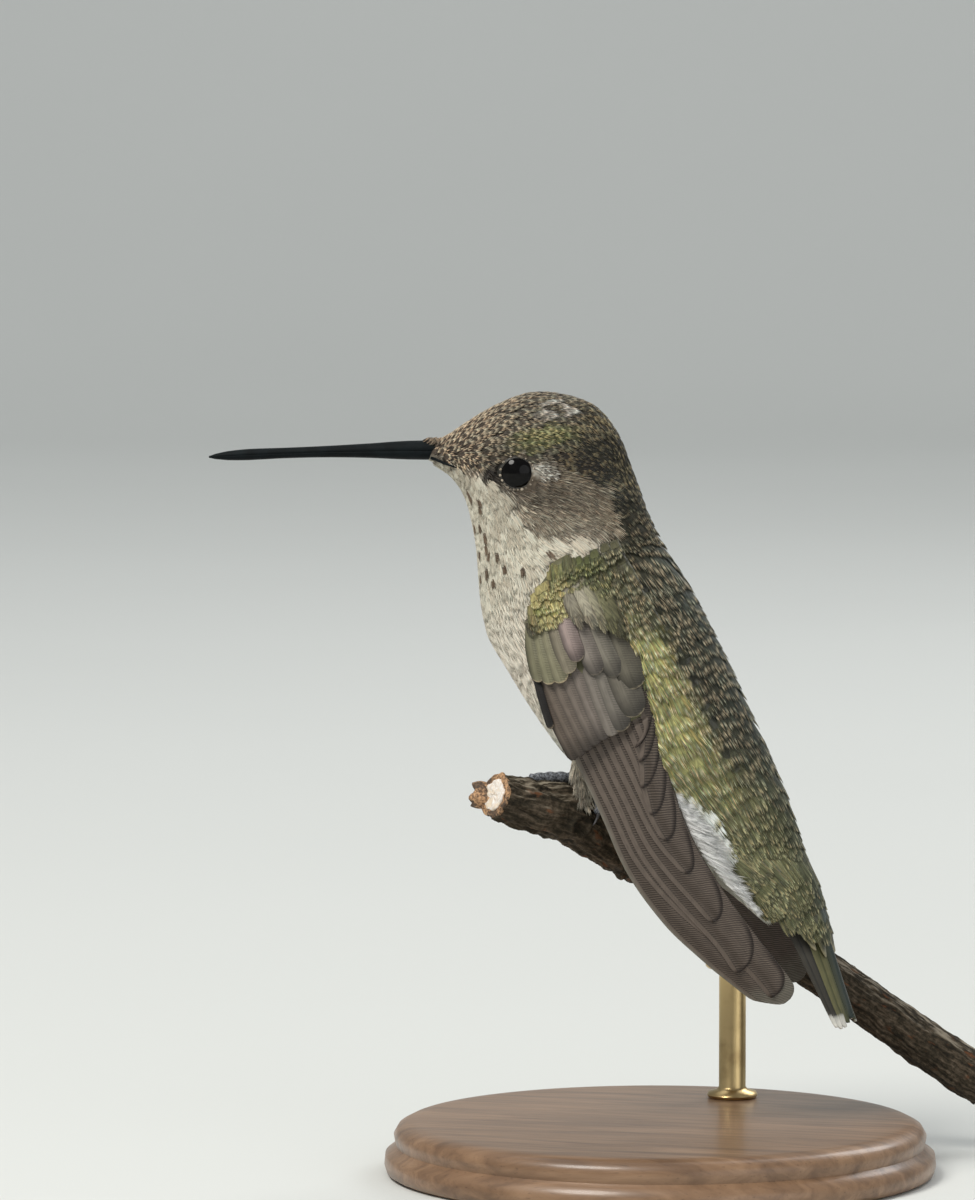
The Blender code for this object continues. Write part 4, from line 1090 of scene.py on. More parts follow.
class HUMMINGBIRD_OT_coat(bpy.types.Operator):
    """The feathers of the head and body, in rows that overlap towards the tail"""

    bl_idname = "hummingbird.coat"
    bl_label = "Coat"

    # Lengths and widths of the feathers at the coat's places
    SIZES = {
        "back": ((1.05, 1.3, 1.5, 1.75, 2, 2.5, 3.1, 4, 5),
                 (0.84, 1.02, 1.14, 1.23, 1.38, 1.8, 2.5, 2.7, 2.8)),
        "cheek": ((0.8, 0.9, 1.3, 1.6, 1.8, 2, 2, 2, 2),
                  (0.5, 0.6, 0.75, 0.85, 0.9, 1, 1, 1, 1)),
        "white": ((0.9, 1.4, 2, 2.5, 2.8, 3.1, 3.6, 3.8, 4),
                  (0.5, 0.7, 0.95, 1.25, 1.6, 2, 2.3, 2.4, 2.4)),
    }
    SCALE = (8, 0.33, 0.074, 0.42, 0.6, 0.72, 0.06)      # numbers of the crown's smallest feathers

    def execute(self, context):
        paints = context.scene.hummingbird_plumage
        rng = np.random.default_rng(paints.seed)
        place, angle = lay_rows(rng, paints)
        marks = Markings(rng, place, angle, paints)
        shares = np.stack([marks.back, marks.cheek, marks.white], axis=-1)
        shares += rng.uniform(0, 0.15, shares.shape)
        back, cheek, white = (shares.argmax(axis=1) == number for number in range(3))
        back &= (place < SIDES_TO) | ((marks.turn < 80) & (place < RIDGE_TO))
        head, gold = place < HEAD_TO, marks.gold > 0.4 + 0.3 * rng.random(len(place))
        rump = (place > RUMP_FROM + 0.3 * rng.random(len(place))) & (place < RUMP_TO)
        hind = (place > 6.4) | ((marks.x > -9.4) & (marks.z < 70))
        throat = white & (place < THROAT_TO)
        belly = white & (place >= THROAT_TO) & (place < 20 + 1.2 * (marks.turn > 130))
        direction = lie_of_coat(place, angle)
        ahead, _ = metric(place, angle, direction, coat_point)
        seen = ~under_wing(body_point(place, angle))
        depth = coat_depth(paints, place)
        finish = feather_finish("Feathers of the body", 0.55, 0.5, 0.6)
        pale = feather_finish("White feathers", 0.6, 0, 0.16)
        scales = [plume(rng, *self.SCALE) for _ in range(8)]
        dashes = [plume(rng, 9, 0.28, 0.05, 0.25, 0.8, 0.7, 0.55) for _ in range(8)]
        plumes = [plume(rng, 17, 0.17, 0.027, 0.16, 0.85, 0.74, 0.42) for _ in range(8)]
        golden = [plume(rng, 18, 0.2, 0.024, 0.18, 0.9, 0.72, 0.5) for _ in range(8)]
        broad = [plume(rng, 28, 0.1, 0.019, 0.16, 0.94, 0.74, 0.5, 0.4) for _ in range(8)]
        locks = [lock(rng, 9, 0.045, 0.55) for _ in range(8)]
        downs = [lock(rng, 19, 0.047, 0.2) for _ in range(8)]
        for name, wanted, tufts, sizes, rise, looks in (
                ("coat_crown", back & head & ~hind, scales, "back", 0.03, (0.2, 0.12, 0.1)),
                ("coat_nape", back & head & hind, dashes, "back", 0.03, (0.25, 0.3, 0.1)),
                ("coat_back", back & ~head & ~gold & ~rump, plumes, "back", 0, (0.16, 0.3, 0.12)),
                ("coat_rump", back & ~gold & rump, broad, "back", 0.02, (0.1, 0.4, 0.12)),
                ("coat_gold", back & ~head & gold, golden, "back", 0.02, (0.12, 0.45, 0.18)),
                ("coat_cheek", cheek, locks, "cheek", 0.05, (0.14, 0.5, 0.08)),
                ("coat_throat", throat, downs, "white", 0.05, (0.05, 0.16, 0.05)),
                ("coat_belly", belly, downs, "white", 0.03, (0.03, 0.1, 0.04))):
            lengths, widths = (np.interp(place, COAT_PLACES, values) for values in self.SIZES[sizes])
            lengths = lengths * (1 - 0.5 * marks.spot)
            is_white = sizes == "white"
            low = (-0.25 if is_white else -1) * depth
            chosen = np.flatnonzero(seen & wanted & clear_of_eyes(place, angle, lengths, ahead))
            at, turn = place[chosen], angle[chosen]
            colours = [value[chosen] for value in getattr(marks, f"{sizes}_paint")]
            slot = "head_feathers" if "crown" in name or "cheek" in name else "body_feathers"
            coat = Coat(name, pale if is_white else finish, slot)
            over_tail = ease(18.7, 20, at) * (sizes == "back")
            measures = (lengths[chosen] - over_tail, widths[chosen], low[chosen] * (1 - 0.9 * over_tail),
                        rise + 0.42 * over_tail, 0.03 if is_white else 0.05, 0.04)
            grow_on(rng, coat, tufts, at, turn, measures, colours, direction[chosen], coat_point,
                    bake_map(at, turn), looks, 0.05 if is_white else 0.1)
            coat.finish()
        self.spots(rng, finish)
        self.over_bill(rng, finish)
        self.flanks(rng, pale)
        return {"FINISHED"}

    def spots(self, rng, finish):
        """Dark flecks on the throat, the same on both sides."""
        spots = [(place, side * math.radians(turn)) for place, turn in THROAT_SPOTS for side in (-1, 1)]
        place, angle = np.array(spots).T
        count = len(place)
        colours = (np.tile((0.1, 0.07, 0.045), (count, 1)), np.tile((0.2, 0.145, 0.1), (count, 1)),
                   np.zeros(count))
        coat = Coat("coat_flecks", finish, "head_feathers")
        flecks = [lock(rng, 7, 0.08, 0.35) for _ in range(6)]
        sizes = (rng.uniform(1, 1.6, count), 0.5, 0, 0.12, 0.05, 0)
        grow_on(rng, coat, flecks, place, angle, sizes, colours, lie_of_coat(place, angle), coat_point,
                bake_map(place, angle), (0.15, 0.15, 0.05))
        coat.finish()

    def over_bill(self, rng, finish):
        """Small feathers that run forward over the base of the bill, to a point on its ridge."""
        along, angle = np.meshgrid(np.arange(-2, 0.7, 0.28), np.radians(np.arange(12, 169, 12)))
        along, angle = along.ravel() + rng.uniform(-0.1, 0.1, along.size), angle.ravel()
        keep = along < 1.7 * np.sin(angle) ** 2 - 1.2
        along, angle = along[keep], angle[keep]
        row = row_at(BILL, along)
        tall, wide = row[:, 1], row[:, 2]
        x, y, z = BILL_BASE[0] - along, wide * np.cos(angle), BILL_BASE[1] + tall * np.sin(angle)
        root = turned(x, y, z, 1)
        normal = turned(x, y + np.cos(angle) / wide, z + np.sin(angle) / tall, 1) - root
        ahead = turned(x + 1, y + 0.25 * np.cos(angle), z + 0.3 * np.sin(angle), 1) - root
        tone = rng.uniform(0.7, 1.1, (len(root), 1))
        colours = (0.05 * tone * (1, 0.74, 0.52), 0.36 * tone * (1, 0.78, 0.54), np.zeros(len(root)))
        coat = Coat("coat_bill_base", finish, "head_feathers")
        scales = [plume(rng, *self.SCALE) for _ in range(4)]
        bake = np.stack([0.5 + 0.1 * np.cos(angle), 0.02 + 0 * along], axis=-1)
        grow_free(rng, coat, scales, root, ahead, normal, (0.85, 0.6, -0.12, 0.1, 0.05, 0.04), colours,
                  bake, (0.2, 0.12, 0.1))
        coat.finish()

    def flanks(self, rng, finish):
        """White barbs that fan out from behind each folded wing, over the side of the tail coverts."""
        for which, side in (("left", 1), ("right", -1)):
            share = np.repeat(np.linspace(0, 1, 64), 2) + rng.uniform(-0.01, 0.01, 128)
            root, end = (np.stack([np.interp(share, line[:, 0], line[:, k]) for k in (1, 2, 3)], axis=-1)
                         for line in FLANK)
            end += rng.uniform(-0.35, 0.35, end.shape) * (1, 0.3, 1)
            root, end = root * (1, side, 1), end * (1, side, 1)
            reach = np.linalg.norm(end - root, axis=1) * rng.uniform(0.85, 1.05, len(share)) + 0.3
            normal = np.tile((0.25, -0.95 * side, 0.1), (len(share), 1))
            tone = rng.uniform(0.85, 1, (len(share), 1))
            colours = (0.85 * tone * (1, 1, 0.97), 0.95 * tone * (1, 1, 0.97), np.zeros(len(share)))
            bake = np.stack([0.2 + 0.1 * share, 0.85 + 0.1 * share], axis=-1)
            coat = Coat(f"flank_{which}", finish, "body_feathers")
            barbs = [lock(rng, 7, 0.042, 0.3) for _ in range(6)]
            sizes = (reach, 0.75 - 0.3 * share, -0.1, 0.08, 0.05, 0)
            grow_free(rng, coat, barbs, root, end - root, normal, sizes, colours, bake, (0.1, 0.35, 0.02),
                      curl=0.03, sway=0.16)
            coat.finish()


class HUMMINGBIRD_OT_eyes(bpy.types.Operator):
    """Glossy eyes, their wrinkled lids and the ring of small beads round them"""

    bl_idname = "hummingbird.eyes"
    bl_label = "Eyes"

    def execute(self, context):
        horn = context.scene.hummingbird_horn
        shine = Finish("Eye", 0.05, ior=1.38, specular_ior_level=0.24)
        glow = shine.mottle(shine.place(), 1500, 2).between(0.4, 0.7)
        shine.drive(Base_Color=shine.mix(glow, horn.eye, (0.004, 0.0035, 0.003)))
        skin = Finish("Lids", 0.5, coat_weight=0.15, coat_roughness=0.3, specular_ior_level=0.3)
        folds = skin.mottle(skin.place(), 5200, 4)
        skin.drive(Base_Color=skin.mix(folds.between(0.35, 0.7), times(horn.lid, 0.4), times(horn.lid, 1.3)))
        skin.bump(folds, 0.6, 0.00008)
        bead = Finish("Lid beads", 0.5, specular_ior_level=0.3)
        spots = bead.mottle(bead.place(), 3800, 2).between(0.35, 0.6)
        bead.drive(Base_Color=bead.mix(spots, (0.12, 0.1, 0.075), (0.42, 0.36, 0.28)))
        bead.bump(spots, 0.3, 0.00004)
        for which, side in (("left", -1), ("right", 1)):
            x, y, z = EYE_AT
            centre = turned(x, side * y, z, 1)
            deselect()
            bpy.ops.mesh.primitive_uv_sphere_add(segments=64, ring_count=40, radius=EYE_RADIUS * MM,
                                                 location=Vector(centre) * MM)
            ball = bpy.context.object
            ball.name = f"eyeball_{which}"
            bpy.ops.object.transform_apply(location=True, rotation=True, scale=True)
            bpy.ops.object.shade_smooth()
            place_piece(ball, shine.material, "eye", f"eye_{which}")
            place_piece(new_piece(f"lids_{which}", *self.lid(centre, side)), skin.material, "eye")
            beads = new_piece(f"lid_beads_{which}", *joined(self.beads(centre, side)))
            place_piece(beads, bead.material, "eye")
        return {"FINISHED"}

    def frame_of(self, side):
        """Outward axis of an eye, and two directions across it: back along the head, and up."""
        out = turned(HEAD_PIVOT_X, float(side), 0, 1) - turned(HEAD_PIVOT_X, 0, 0, 1)
        back = turned(HEAD_PIVOT_X + 1, 0, 0, 1) - turned(HEAD_PIVOT_X, 0, 0, 1)
        return out, back, np.array((0, 0, 1))

    # Radius and height of the lids' section, from the opening outwards and back underneath
    SECTION = ((1.39, -0.12), (1.4, 0.02), (1.44, 0.09), (1.49, 0.05), (1.53, 0.09), (1.6, 0.06),
               (1.66, -0.04), (1.78, -0.2), (1.9, -0.5), (1.42, -0.6))
    BEADS = (-172, -156, -141, -126, -112, -98, -84, -70, -56, -42, -28, -14, 0, 14, 28, 44, 62, 84, 110,
             138, 164)

    def lid(self, centre, side):
        """A folded ring of skin round the opening, a little pointed in front and behind."""
        out, back, up = self.frame_of(side)
        steps, points = 72, []
        for angle in full_turn(steps):
            corner = 1 + 0.05 * abs(math.cos(angle)) ** 6
            wrinkle = 0.02 * math.sin(angle * 19) + 0.014 * math.sin(angle * 31 + 1)
            around = back * math.cos(angle) + up * math.sin(angle) * 0.98
            for k, (radius, height) in enumerate(self.SECTION):
                radius = radius * corner + (wrinkle if 2 < k < 8 else 0)
                lift = math.sqrt(max(EYE_RADIUS ** 2 - min(radius, 1.6) ** 2, 0)) + height
                points.append(centre + out * lift + radius * around)
        triangles = grid_triangles(steps + 1, len(self.SECTION), True) % len(points)
        return np.array(points), triangles if side > 0 else triangles[:, ::-1]

    def beads(self, centre, side):
        """Tiny feather beads that edge the lids, closest together below and behind."""
        out, back, up = self.frame_of(side)
        parts = []
        for number, degrees in enumerate(self.BEADS):
            angle = math.radians(degrees + 4 * math.sin(7 * number))
            around = back * math.cos(angle) + up * math.sin(angle)
            at = centre + out * 1.58 + (1.6 + 0.04 * math.sin(5 * number)) * around
            size = 1 + 0.25 * math.sin(3 * number)
            parts.append(closed_tube(ellipsoid_rings(at, (0.14 * size, 0.12, 0.12 * size), 7, 8)))
        return parts


class HUMMINGBIRD_OT_bill(bpy.types.Operator):
    """The two halves of the bill, with the seam between them"""

    bl_idname = "hummingbird.bill"
    bl_label = "Bill"

    def execute(self, context):
        horn = Finish("Bill horn", 0.55, specular_ior_level=0.1)
        grain = horn.mottle(horn.scaled(horn.place(), (0.12, 1, 1)), 9000, 3)
        cloud = horn.mottle(horn.place(), 700, 3).between(0.35, 0.7)
        base = context.scene.hummingbird_horn.bill
        tone = horn.mix(cloud, times(base, 0.75), times(base, 1.35))
        horn.drive(Base_Color=tone, Roughness=0.48 + grain * 0.2)
        horn.bump(grain, 0.3, 0.00003)
        for name, lower, node in (("horn_upper", False, "bill_upper"), ("horn_lower", True, "bill_lower")):
            place_piece(new_piece(name, *self.half(lower)), horn.material, "bill", node)
        paths = [np.array([on_head(x, z, side, 0.1) for x, z in GAPE]) for side in (-1, 1)]
        gapes = [sweep(path, np.array((0.15, 0.15, 0.13, 0.1, 0.05)), 10) for path in paths]
        place_piece(new_piece("gape", *joined(gapes)), horn.material, "bill")
        return {"FINISHED"}

    def half(self, lower):
        length = BILL[-1, 0]
        along = np.concatenate([[-2.2, -1, 0], np.linspace(0.3, length - 0.9, 46),
                                length - 0.9 * (1 - np.linspace(0.1, 1, 9)) ** 1.3])
        row = row_at(BILL, along)
        tall, wide = np.maximum(row[:, 1], 0.03), np.maximum(row[:, 2], 0.03)
        middle = BILL_BASE[1] - BILL_DROOP * (along / length) ** 2
        turn = np.linspace(0, math.pi, 25)
        sine, cosine = np.sin(turn), np.cos(turn)
        lift = tall[:, None] * sine ** 0.9 + BILL_SEAM / 2
        if lower:
            lift = -0.9 * lift
        inward = 1 - 0.03 * (sine < 0.05)
        x = np.repeat((BILL_BASE[0] - along)[:, None], len(turn), axis=1)
        return closed_tube(turned(x, wide[:, None] * cosine * inward, middle[:, None] + lift, 1))


# ---- the wings and the tail
# Coverts of a wing, lowest first: root (along, across), tip (along, across), half width, how far out
# its tip lies, its colour, the colour of its tip's edge, and how wide that edge is
# the dark tip edges of the lowest rows are painted shadow along the ends of the coverts
COVERTS = (
    ((5.5, -6.1), (14.5, -6.3), 0.62, -0.34, (0.11, 0.086, 0.068), (0.05, 0.038, 0.03), 0.1),
    ((5.3, -5.2), (14.5, -5.5), 0.72, -0.3, (0.125, 0.1, 0.08), (0.05, 0.038, 0.03), 0.1),
    ((5, -4.2), (14.4, -4.6), 0.76, -0.26, (0.135, 0.11, 0.09), (0.05, 0.038, 0.03), 0.1),
    ((4.8, -3.1), (14.3, -3.7), 0.8, -0.22, (0.15, 0.125, 0.105), (0.05, 0.038, 0.03), 0.1),
    ((4.6, -1.9), (14.25, -2.8), 0.84, -0.18, (0.165, 0.14, 0.12), (0.05, 0.038, 0.03), 0.1),
    ((4.5, -0.7), (14.3, -1.9), 0.9, -0.14, (0.17, 0.15, 0.128), (0.1, 0.08, 0.06), 0.12),
    ((4.4, 0.5), (14.3, -0.9), 1.05, -0.1, (0.155, 0.14, 0.118), (0.3, 0.25, 0.17), 0.1),
    ((4.3, 1.7), (13.7, 0.8), 1.35, -0.05, (0.125, 0.113, 0.09), (0.33, 0.28, 0.19), 0.1),
    ((4, 2.8), (11.4, 2), 1.25, 0, (0.11, 0.1, 0.075), (0.33, 0.28, 0.19), 0.1),
    ((4.6, -5.7), (10.9, -6.85), 0.36, 0, (0.016, 0.014, 0.013), (0.22, 0.17, 0.12), 0.12),
    ((1, -4.3), (6.6, -5.65), 0.8, 0.06, (0.155, 0.147, 0.092), (0.36, 0.29, 0.19), 0.16),
    ((0.8, -3.6), (7.3, -4.75), 0.85, 0.1, (0.185, 0.176, 0.11), (0.44, 0.36, 0.23), 0.16),
    ((0.6, -2.8), (7.7, -3.7), 0.9, 0.14, (0.19, 0.178, 0.115), (0.44, 0.36, 0.23), 0.16),
    ((0.9, 1.3), (9.6, 1), 0.9, 0.02, (0.17, 0.155, 0.125), (0.16, 0.14, 0.11), 0.1),
    ((0.6, 0.2), (8.6, -0.4), 0.9, 0.08, (0.2, 0.175, 0.15), (0.2, 0.17, 0.13), 0.1),
    ((0.3, -1.7), (7.3, -2.55), 0.9, 0.18, (0.19, 0.168, 0.122), (0.36, 0.3, 0.21), 0.12),
    ((-0.6, -0.5), (6.7, -1.4), 0.85, 0.24, (0.27, 0.213, 0.195), (0.3, 0.25, 0.18), 0.1),
)
# Plumes of the upper arm: root, length, width, degrees from along the wing, and colour
HUMERALS = (((-0.9, 0.4), 5.4, 1.5, 0, (0.22, 0.2, 0.145)), ((-1, 1.3), 6.4, 1.5, 1, (0.33, 0.305, 0.225)),
            ((-0.9, 2.1), 7.2, 1.5, 0, (0.24, 0.225, 0.15)), ((-0.6, 2.9), 7.6, 1.6, -2, (0.14, 0.135, 0.07)),
            ((-0.2, 3.6), 7.6, 1.6, -3, (0.1, 0.095, 0.048)))


def vane(surface, along, low, high, rachis, out, arch, ridge, columns=13, wall=0.1):
    """A feather's blade on a surface, between its two edges, closed below, with its own map.

    surface(along, across, out) gives points; the map holds (mm from the rachis, mm along it).
    """
    share = (1 - np.cos(np.linspace(0, math.pi, columns))) / 2
    across = low[:, None] + (high - low)[:, None] * share[None, :]
    run = np.repeat(along[:, None], columns, axis=1)
    beside = across - rachis[:, None]
    top = out[:, None] + arch * (4 * share * (1 - share))[None, :] + ridge * np.exp(-(beside / 0.13) ** 2)
    below = out[:, None] - wall + 0 * top
    rings = np.concatenate([surface(run, across, top), surface(run, across, below)[:, ::-1]], axis=1)
    points, triangles = closed_tube(rings)
    chart = np.stack([np.concatenate([beside, beside[:, ::-1]], axis=1),
                      np.concatenate([run, run], axis=1)], axis=-1).reshape(-1, 2)
    span = np.linspace(0.02, 0.48, columns)
    cell = np.stack([np.tile(np.concatenate([span, 0.98 - span[::-1]])[None], (len(along), 1)),
                     np.repeat(np.linspace(0.02, 0.98, len(along))[:, None], 2 * columns, axis=1)],
                    axis=-1).reshape(-1, 2)
    ends = [0, -1]
    chart = np.concatenate([chart, chart.reshape(len(along), -1, 2)[ends, 0]])
    cell = np.concatenate([cell, cell.reshape(len(along), -1, 2)[ends, 0]])
    return points, triangles, chart, cell


def round_tip(reach, length, corner):
    """How much of its width a feather still has, from its length left to the tip."""
    left = np.maximum(length - reach, 0)
    return np.sqrt(np.maximum(0, 1 - np.maximum(0, 1 - left / corner) ** 2))


def flight_finish(name, ribs=1, shaft=0.3, fold=0):
    """Horny vanes: fine ribs that slant away from the shaft, under the feather's own colours."""
    finish = Finish(name, 0.46, specular_ior_level=0.28)
    beside, along, _ = finish.parts(finish.map("Vane"))
    wobble = finish.mottle(finish.place(), 900, 2) * 0.25
    inner = ((along - beside * 0.45 + wobble) / 0.24).fract()
    outer = ((along + beside * 1.5 + wobble) / 0.26).fract()
    is_inner = beside.between(-0.02, 0.02)
    rib = ((inner * is_inner + outer * (1 - is_inner)) * 2 - 1).absolute().between(0.1, 0.9)
    streak = finish.mottle(finish.vector(beside * 7, along * 0.35, wobble), 1, 3).between(0.3, 0.7)
    line = 1 - beside.absolute().between(0.03, 0.09)
    cloud = finish.mottle(finish.place(), 1200, 3).between(0.3, 0.7)
    light = ((1 - rib * ((0.1 + is_inner * 0.58) * ribs)) * (0.84 + cloud * 0.16 + streak * 0.16)
             * (1 - line * shaft))
    finish.drive(Base_Color=finish.tinted(light), Roughness=0.4 + rib * 0.16,
                 Metallic=finish.attribute("Tint", "Alpha") * 0.5)
    finish.bump(rib * ribs + streak * fold, 0.35, 0.00004)
    return finish.material


class Vanes:
    """Collects the vanes of one piece, each with its colours and its own cell of the map for baking."""

    def __init__(self, across, down):
        self.parts, self.across, self.down = [], across, down

    def add(self, built, tint):
        points, triangles, chart, cell = built
        corner = np.array((len(self.parts) % self.across, len(self.parts) // self.across))
        bake = (cell + corner) / np.array((self.across, self.down))
        self.parts.append((points, triangles, tint, bake, chart))

    def piece(self, name):
        return new_piece(name, *joined(self.parts))


def primary_vane(index, side):
    """One flight feather, from under the coverts to its rounded tip, and its upper edge beside the shaft."""
    tip_along, tip_across = PRIMARY_TIPS[index]
    start = COVERTS_END - 3.5
    along = start + (tip_along - start) * (1 - (1 - np.linspace(0, 1, 46)) ** 1.5)
    row = wing_row(along)
    low, high = row[:, 1], row[:, 2]
    share = np.clip((along - COVERTS_END) / (tip_along - COVERTS_END), 0, 1)
    if index:
        low = blend(low + PRIMARY_PITCH * index, tip_across - 0.4, share ** 3)
    rachis = low + 0.42 + 0.1 * (1 - share)
    low = tip_across - 0.05 + (low - tip_across) * round_tip(along, tip_along, 1 if index else 2.4)
    corner = (1.5, 2.4)[index] if index < 2 else 4.2
    high = tip_across + 0.05 + (high - tip_across) * round_tip(along, tip_along, corner)
    rachis = np.clip(rachis, low + 0.1, high - 0.1)
    out = -1.42 + 0.12 * index - 0.25 * (1 - ease(0, 0.15, share))

    def surface(run, across, lift):
        return wing_point(run, across, lift, side)
    built = vane(surface, along, low, high, rachis, out + 0 * along, 0.06, 0.09, 19)
    return built, along, high - rachis


def covert_vane(root, tip, half, out, side):
    """One covert that lies on the wing between its root and its rounded tip."""
    root, tip = np.array(root), np.array(tip)
    length = np.linalg.norm(tip - root)
    ahead = (tip - root) / length
    beside = np.array((-ahead[1], ahead[0]))
    along = length * (1 - (1 - np.linspace(0, 1, 24)) ** 1.4)
    width = half * (0.45 + 0.55 * ease(0, 0.45 * length, along)) * round_tip(along, length, 1.3 * half) + 0.02
    root_out = -0.5
    lift = root_out + (out - root_out) * ease(0, 0.8 * length, along)

    def surface(run, across, rise):
        middle = root + run[..., None] * ahead + across[..., None] * beside
        return wing_point(middle[..., 0], middle[..., 1], rise, side)
    return vane(surface, along, -width, width, 0 * along, lift, 0.1, 0.05, 11), length


class HUMMINGBIRD_OT_flight(bpy.types.Operator):
    """Ten flight feathers of each wing, folded over each other"""

    bl_idname = "hummingbird.flight"
    bl_label = "Flight feathers"

    def execute(self, context):
        finish = flight_finish("Flight feathers")
        dark, light, border = np.array(((0.088, 0.067, 0.052), (0.135, 0.107, 0.087), (0.028, 0.019, 0.015)))
        outermost = (0.17, 0.155, 0.125)
        for which, side in (("left", -1), ("right", 1)):
            vanes = Vanes(5, 2)
            for index, (tip, _) in enumerate(PRIMARY_TIPS):
                built, rows, top = primary_vane(index, side)
                beside, along = built[2].T
                colour = blend(light * 0.95, dark, ease(-0.15, 0.35, beside)[:, None])
                colour = paint(colour, 0.85 * ease(0.35, 1.3, beside) * ease(-0.3, 0.9, beside), light)
                if index:
                    rim = 1 - ease(0.08, 0.5, np.interp(along, rows, top) - beside)
                    rim = rim * ease(tip - 6, tip - 2.5, along) + ease(tip - 0.5, tip - 0.1, along)
                    colour = paint(colour, 0.95 * np.minimum(rim, 1), border)
                else:
                    pale = np.maximum(1 - ease(-0.42, -0.2, beside), ease(tip - 3.2, tip - 1.2, along))
                    colour = paint(colour, pale, outermost)
                vanes.add(built, glossed(colour, 0))
            place_piece(vanes.piece(f"flight_feathers_{which}"), finish, "flight_feathers",
                        f"primaries_{which}")
        return {"FINISHED"}


class HUMMINGBIRD_OT_coverts(bpy.types.Operator):
    """The folded arm of each wing with its coverts in their layers"""

    bl_idname = "hummingbird.coverts"
    bl_label = "Coverts"

    def execute(self, context):
        paints = context.scene.hummingbird_plumage
        finish = flight_finish("Wing coverts", 0.4, 0.1, 0.6)
        soft = feather_finish("Small coverts", 0.55, 0.5, 0.7)
        for which, side in (("left", -1), ("right", 1)):
            rng = np.random.default_rng(paints.seed + 20)
            vanes = Vanes(5, 4)
            for root, tip, half, out, colour, edge, rim in COVERTS:
                built, length = covert_vane(root, tip, half, out, side)
                beside, run = built[2].T
                across = beside / half
                # painted shade across each covert: lightest just inside its lower edge, darker at that edge
                # and towards the upper edge that the next covert lies over
                shade = 0.45 + 0.68 * ease(-1, -0.3, across) - 0.42 * ease(-0.1, 0.8, across)
                # painted shadow line: the rows with narrow tip edges darken towards their tips
                shade *= 1 - 0.65 * ease(0.72, 1, run / length) * (rim < 0.12)
                at_tip = ease(length - rim, length - 0.4 * rim, run + np.abs(beside) ** 2 * 0.6 / half)
                vanes.add(built, glossed(paint(np.array(colour) * shade[:, None], at_tip, edge), 0.1))
            place_piece(vanes.piece(f"coverts_{which}"), finish, "covert_feathers")
            place_piece(self.arm(side, which), soft, "covert_feathers", f"wing_{which}")
            self.small_coverts(rng, side, which, soft)
            self.scapulars(rng, side, which, soft)
        return {"FINISHED"}

    def arm(self, side, which):
        """The arm under its coverts: a long lens, thick at the shoulder."""
        along = np.linspace(WING[0, 0], COVERTS_END - 0.3, 40)
        row = wing_row(along)
        low, high = row[:, 1] + 0.25, row[:, 2] - 0.25
        share = np.linspace(0, 1, 40)
        turn = full_turn(32)
        middle, half = (low + high) / 2, np.maximum((high - low) / 2, 0.3)
        thick = (1.75 - 0.75 * share)[:, None] * 0.9 * (np.sin(turn)[None] - 1) - 0.3
        across = middle[:, None] + half[:, None] * np.cos(turn)[None]
        run = np.repeat(along[:, None], len(turn), axis=1)
        points, triangles = closed_tube(wing_point(run, across, thick, side))
        tint = np.tile((0.11, 0.105, 0.055, 0), (len(points), 1))
        return new_piece(f"arm_{which}", points, triangles, tint=tint)

    def scattered(self, rng, rows, span, stagger, step, jitter):
        """Places along and across the wing in staggered rows, each moved a little at random."""
        roots = []
        for number, along in enumerate(rows):
            first, last = span(along)
            for across in np.arange(first + stagger * (number % 2), last, step):
                roots.append((along + rng.uniform(-jitter, jitter), across + rng.uniform(-jitter, jitter)))
        return np.array(roots).T

    def small_coverts(self, rng, side, which, finish):
        """Rows of gold-green feathers over the arm, and the longer plumes beside the back."""
        coat = Coat(f"small_coverts_{which}", finish, "covert_feathers")
        plumes = [plume(rng, 26, 0.06, 0.02, 0.35, 0.85, 0.8, 0.3) for _ in range(5)]
        for (at, over), length, width, turn, colour in HUMERALS:
            colours = (np.array([colour]), np.array([colour]) * 1.5, np.array([0.1]))
            sizes = (length, width, -0.3, 0.7, 0.05, 0.12)
            self.grow(rng, coat, plumes, np.array([at]), np.array([over]), sizes, colours, side, turn,
                      (0.05, 0.45, 0.08), 0.03)
        scales = [plume(rng, 20, 0.14, 0.024, 0.28, 0.9, 0.5, 0.45) for _ in range(6)]

        def span(along):
            row = wing_row(np.array([along]))[0]
            return row[1] + 0.45, min(row[2] - 0.2, 0.1 if along > -0.8 else 3.4)
        along, across = self.scattered(rng, np.arange(-2.8, 1.3, 0.6), span, 0.35, 0.7, 0.15)
        count = len(along)
        gold = ease(-4.4, -2.8, across) * (1 - ease(0, 1.6, across))
        gold = gold * (0.45 + 0.55 * ease(-2.6, -1, along))
        core = paint(np.tile((0.1, 0.102, 0.045), (count, 1)), gold, (0.4, 0.35, 0.15))
        rim = paint(np.tile((0.25, 0.24, 0.12), (count, 1)), gold, (0.7, 0.62, 0.33))
        core = paint(core, 0.5 * (rng.random(count) < 0.2) * gold, (0.24, 0.28, 0.07))
        # darker brown along the wing's leading edge: partly the coverts' own brown, partly painted shade on
        # that rounded edge
        edge = (1 - ease(0.1, 1.3, across - wing_row(along)[:, 1])) * ease(-1.2, 0.4, along)
        core, rim = paint(core, 0.9 * edge, (0.05, 0.038, 0.028)), paint(rim, 0.8 * edge, (0.12, 0.1, 0.07))
        self.grow(rng, coat, scales, along, across, (2.1, 1.3, -0.6, 0.2, 0.035, 0.05),
                  (core, rim, 0.15 * gold + 0.1), side, 0, (0.1, 0.35, 0.14), 0.1)
        coat.finish()

    def scapulars(self, rng, side, which, finish):
        """Feathers of the back that lie over the upper edge of the folded wing."""
        coat = Coat(f"scapulars_{which}", finish, "body_feathers")
        plumes = [plume(rng, 18, 0.18, 0.026, 0.18, 0.9, 0.7, 0.35) for _ in range(6)]
        small = [plume(rng, 18, 0.2, 0.026, 0.28, 0.9, 0.5, 0.45) for _ in range(6)]

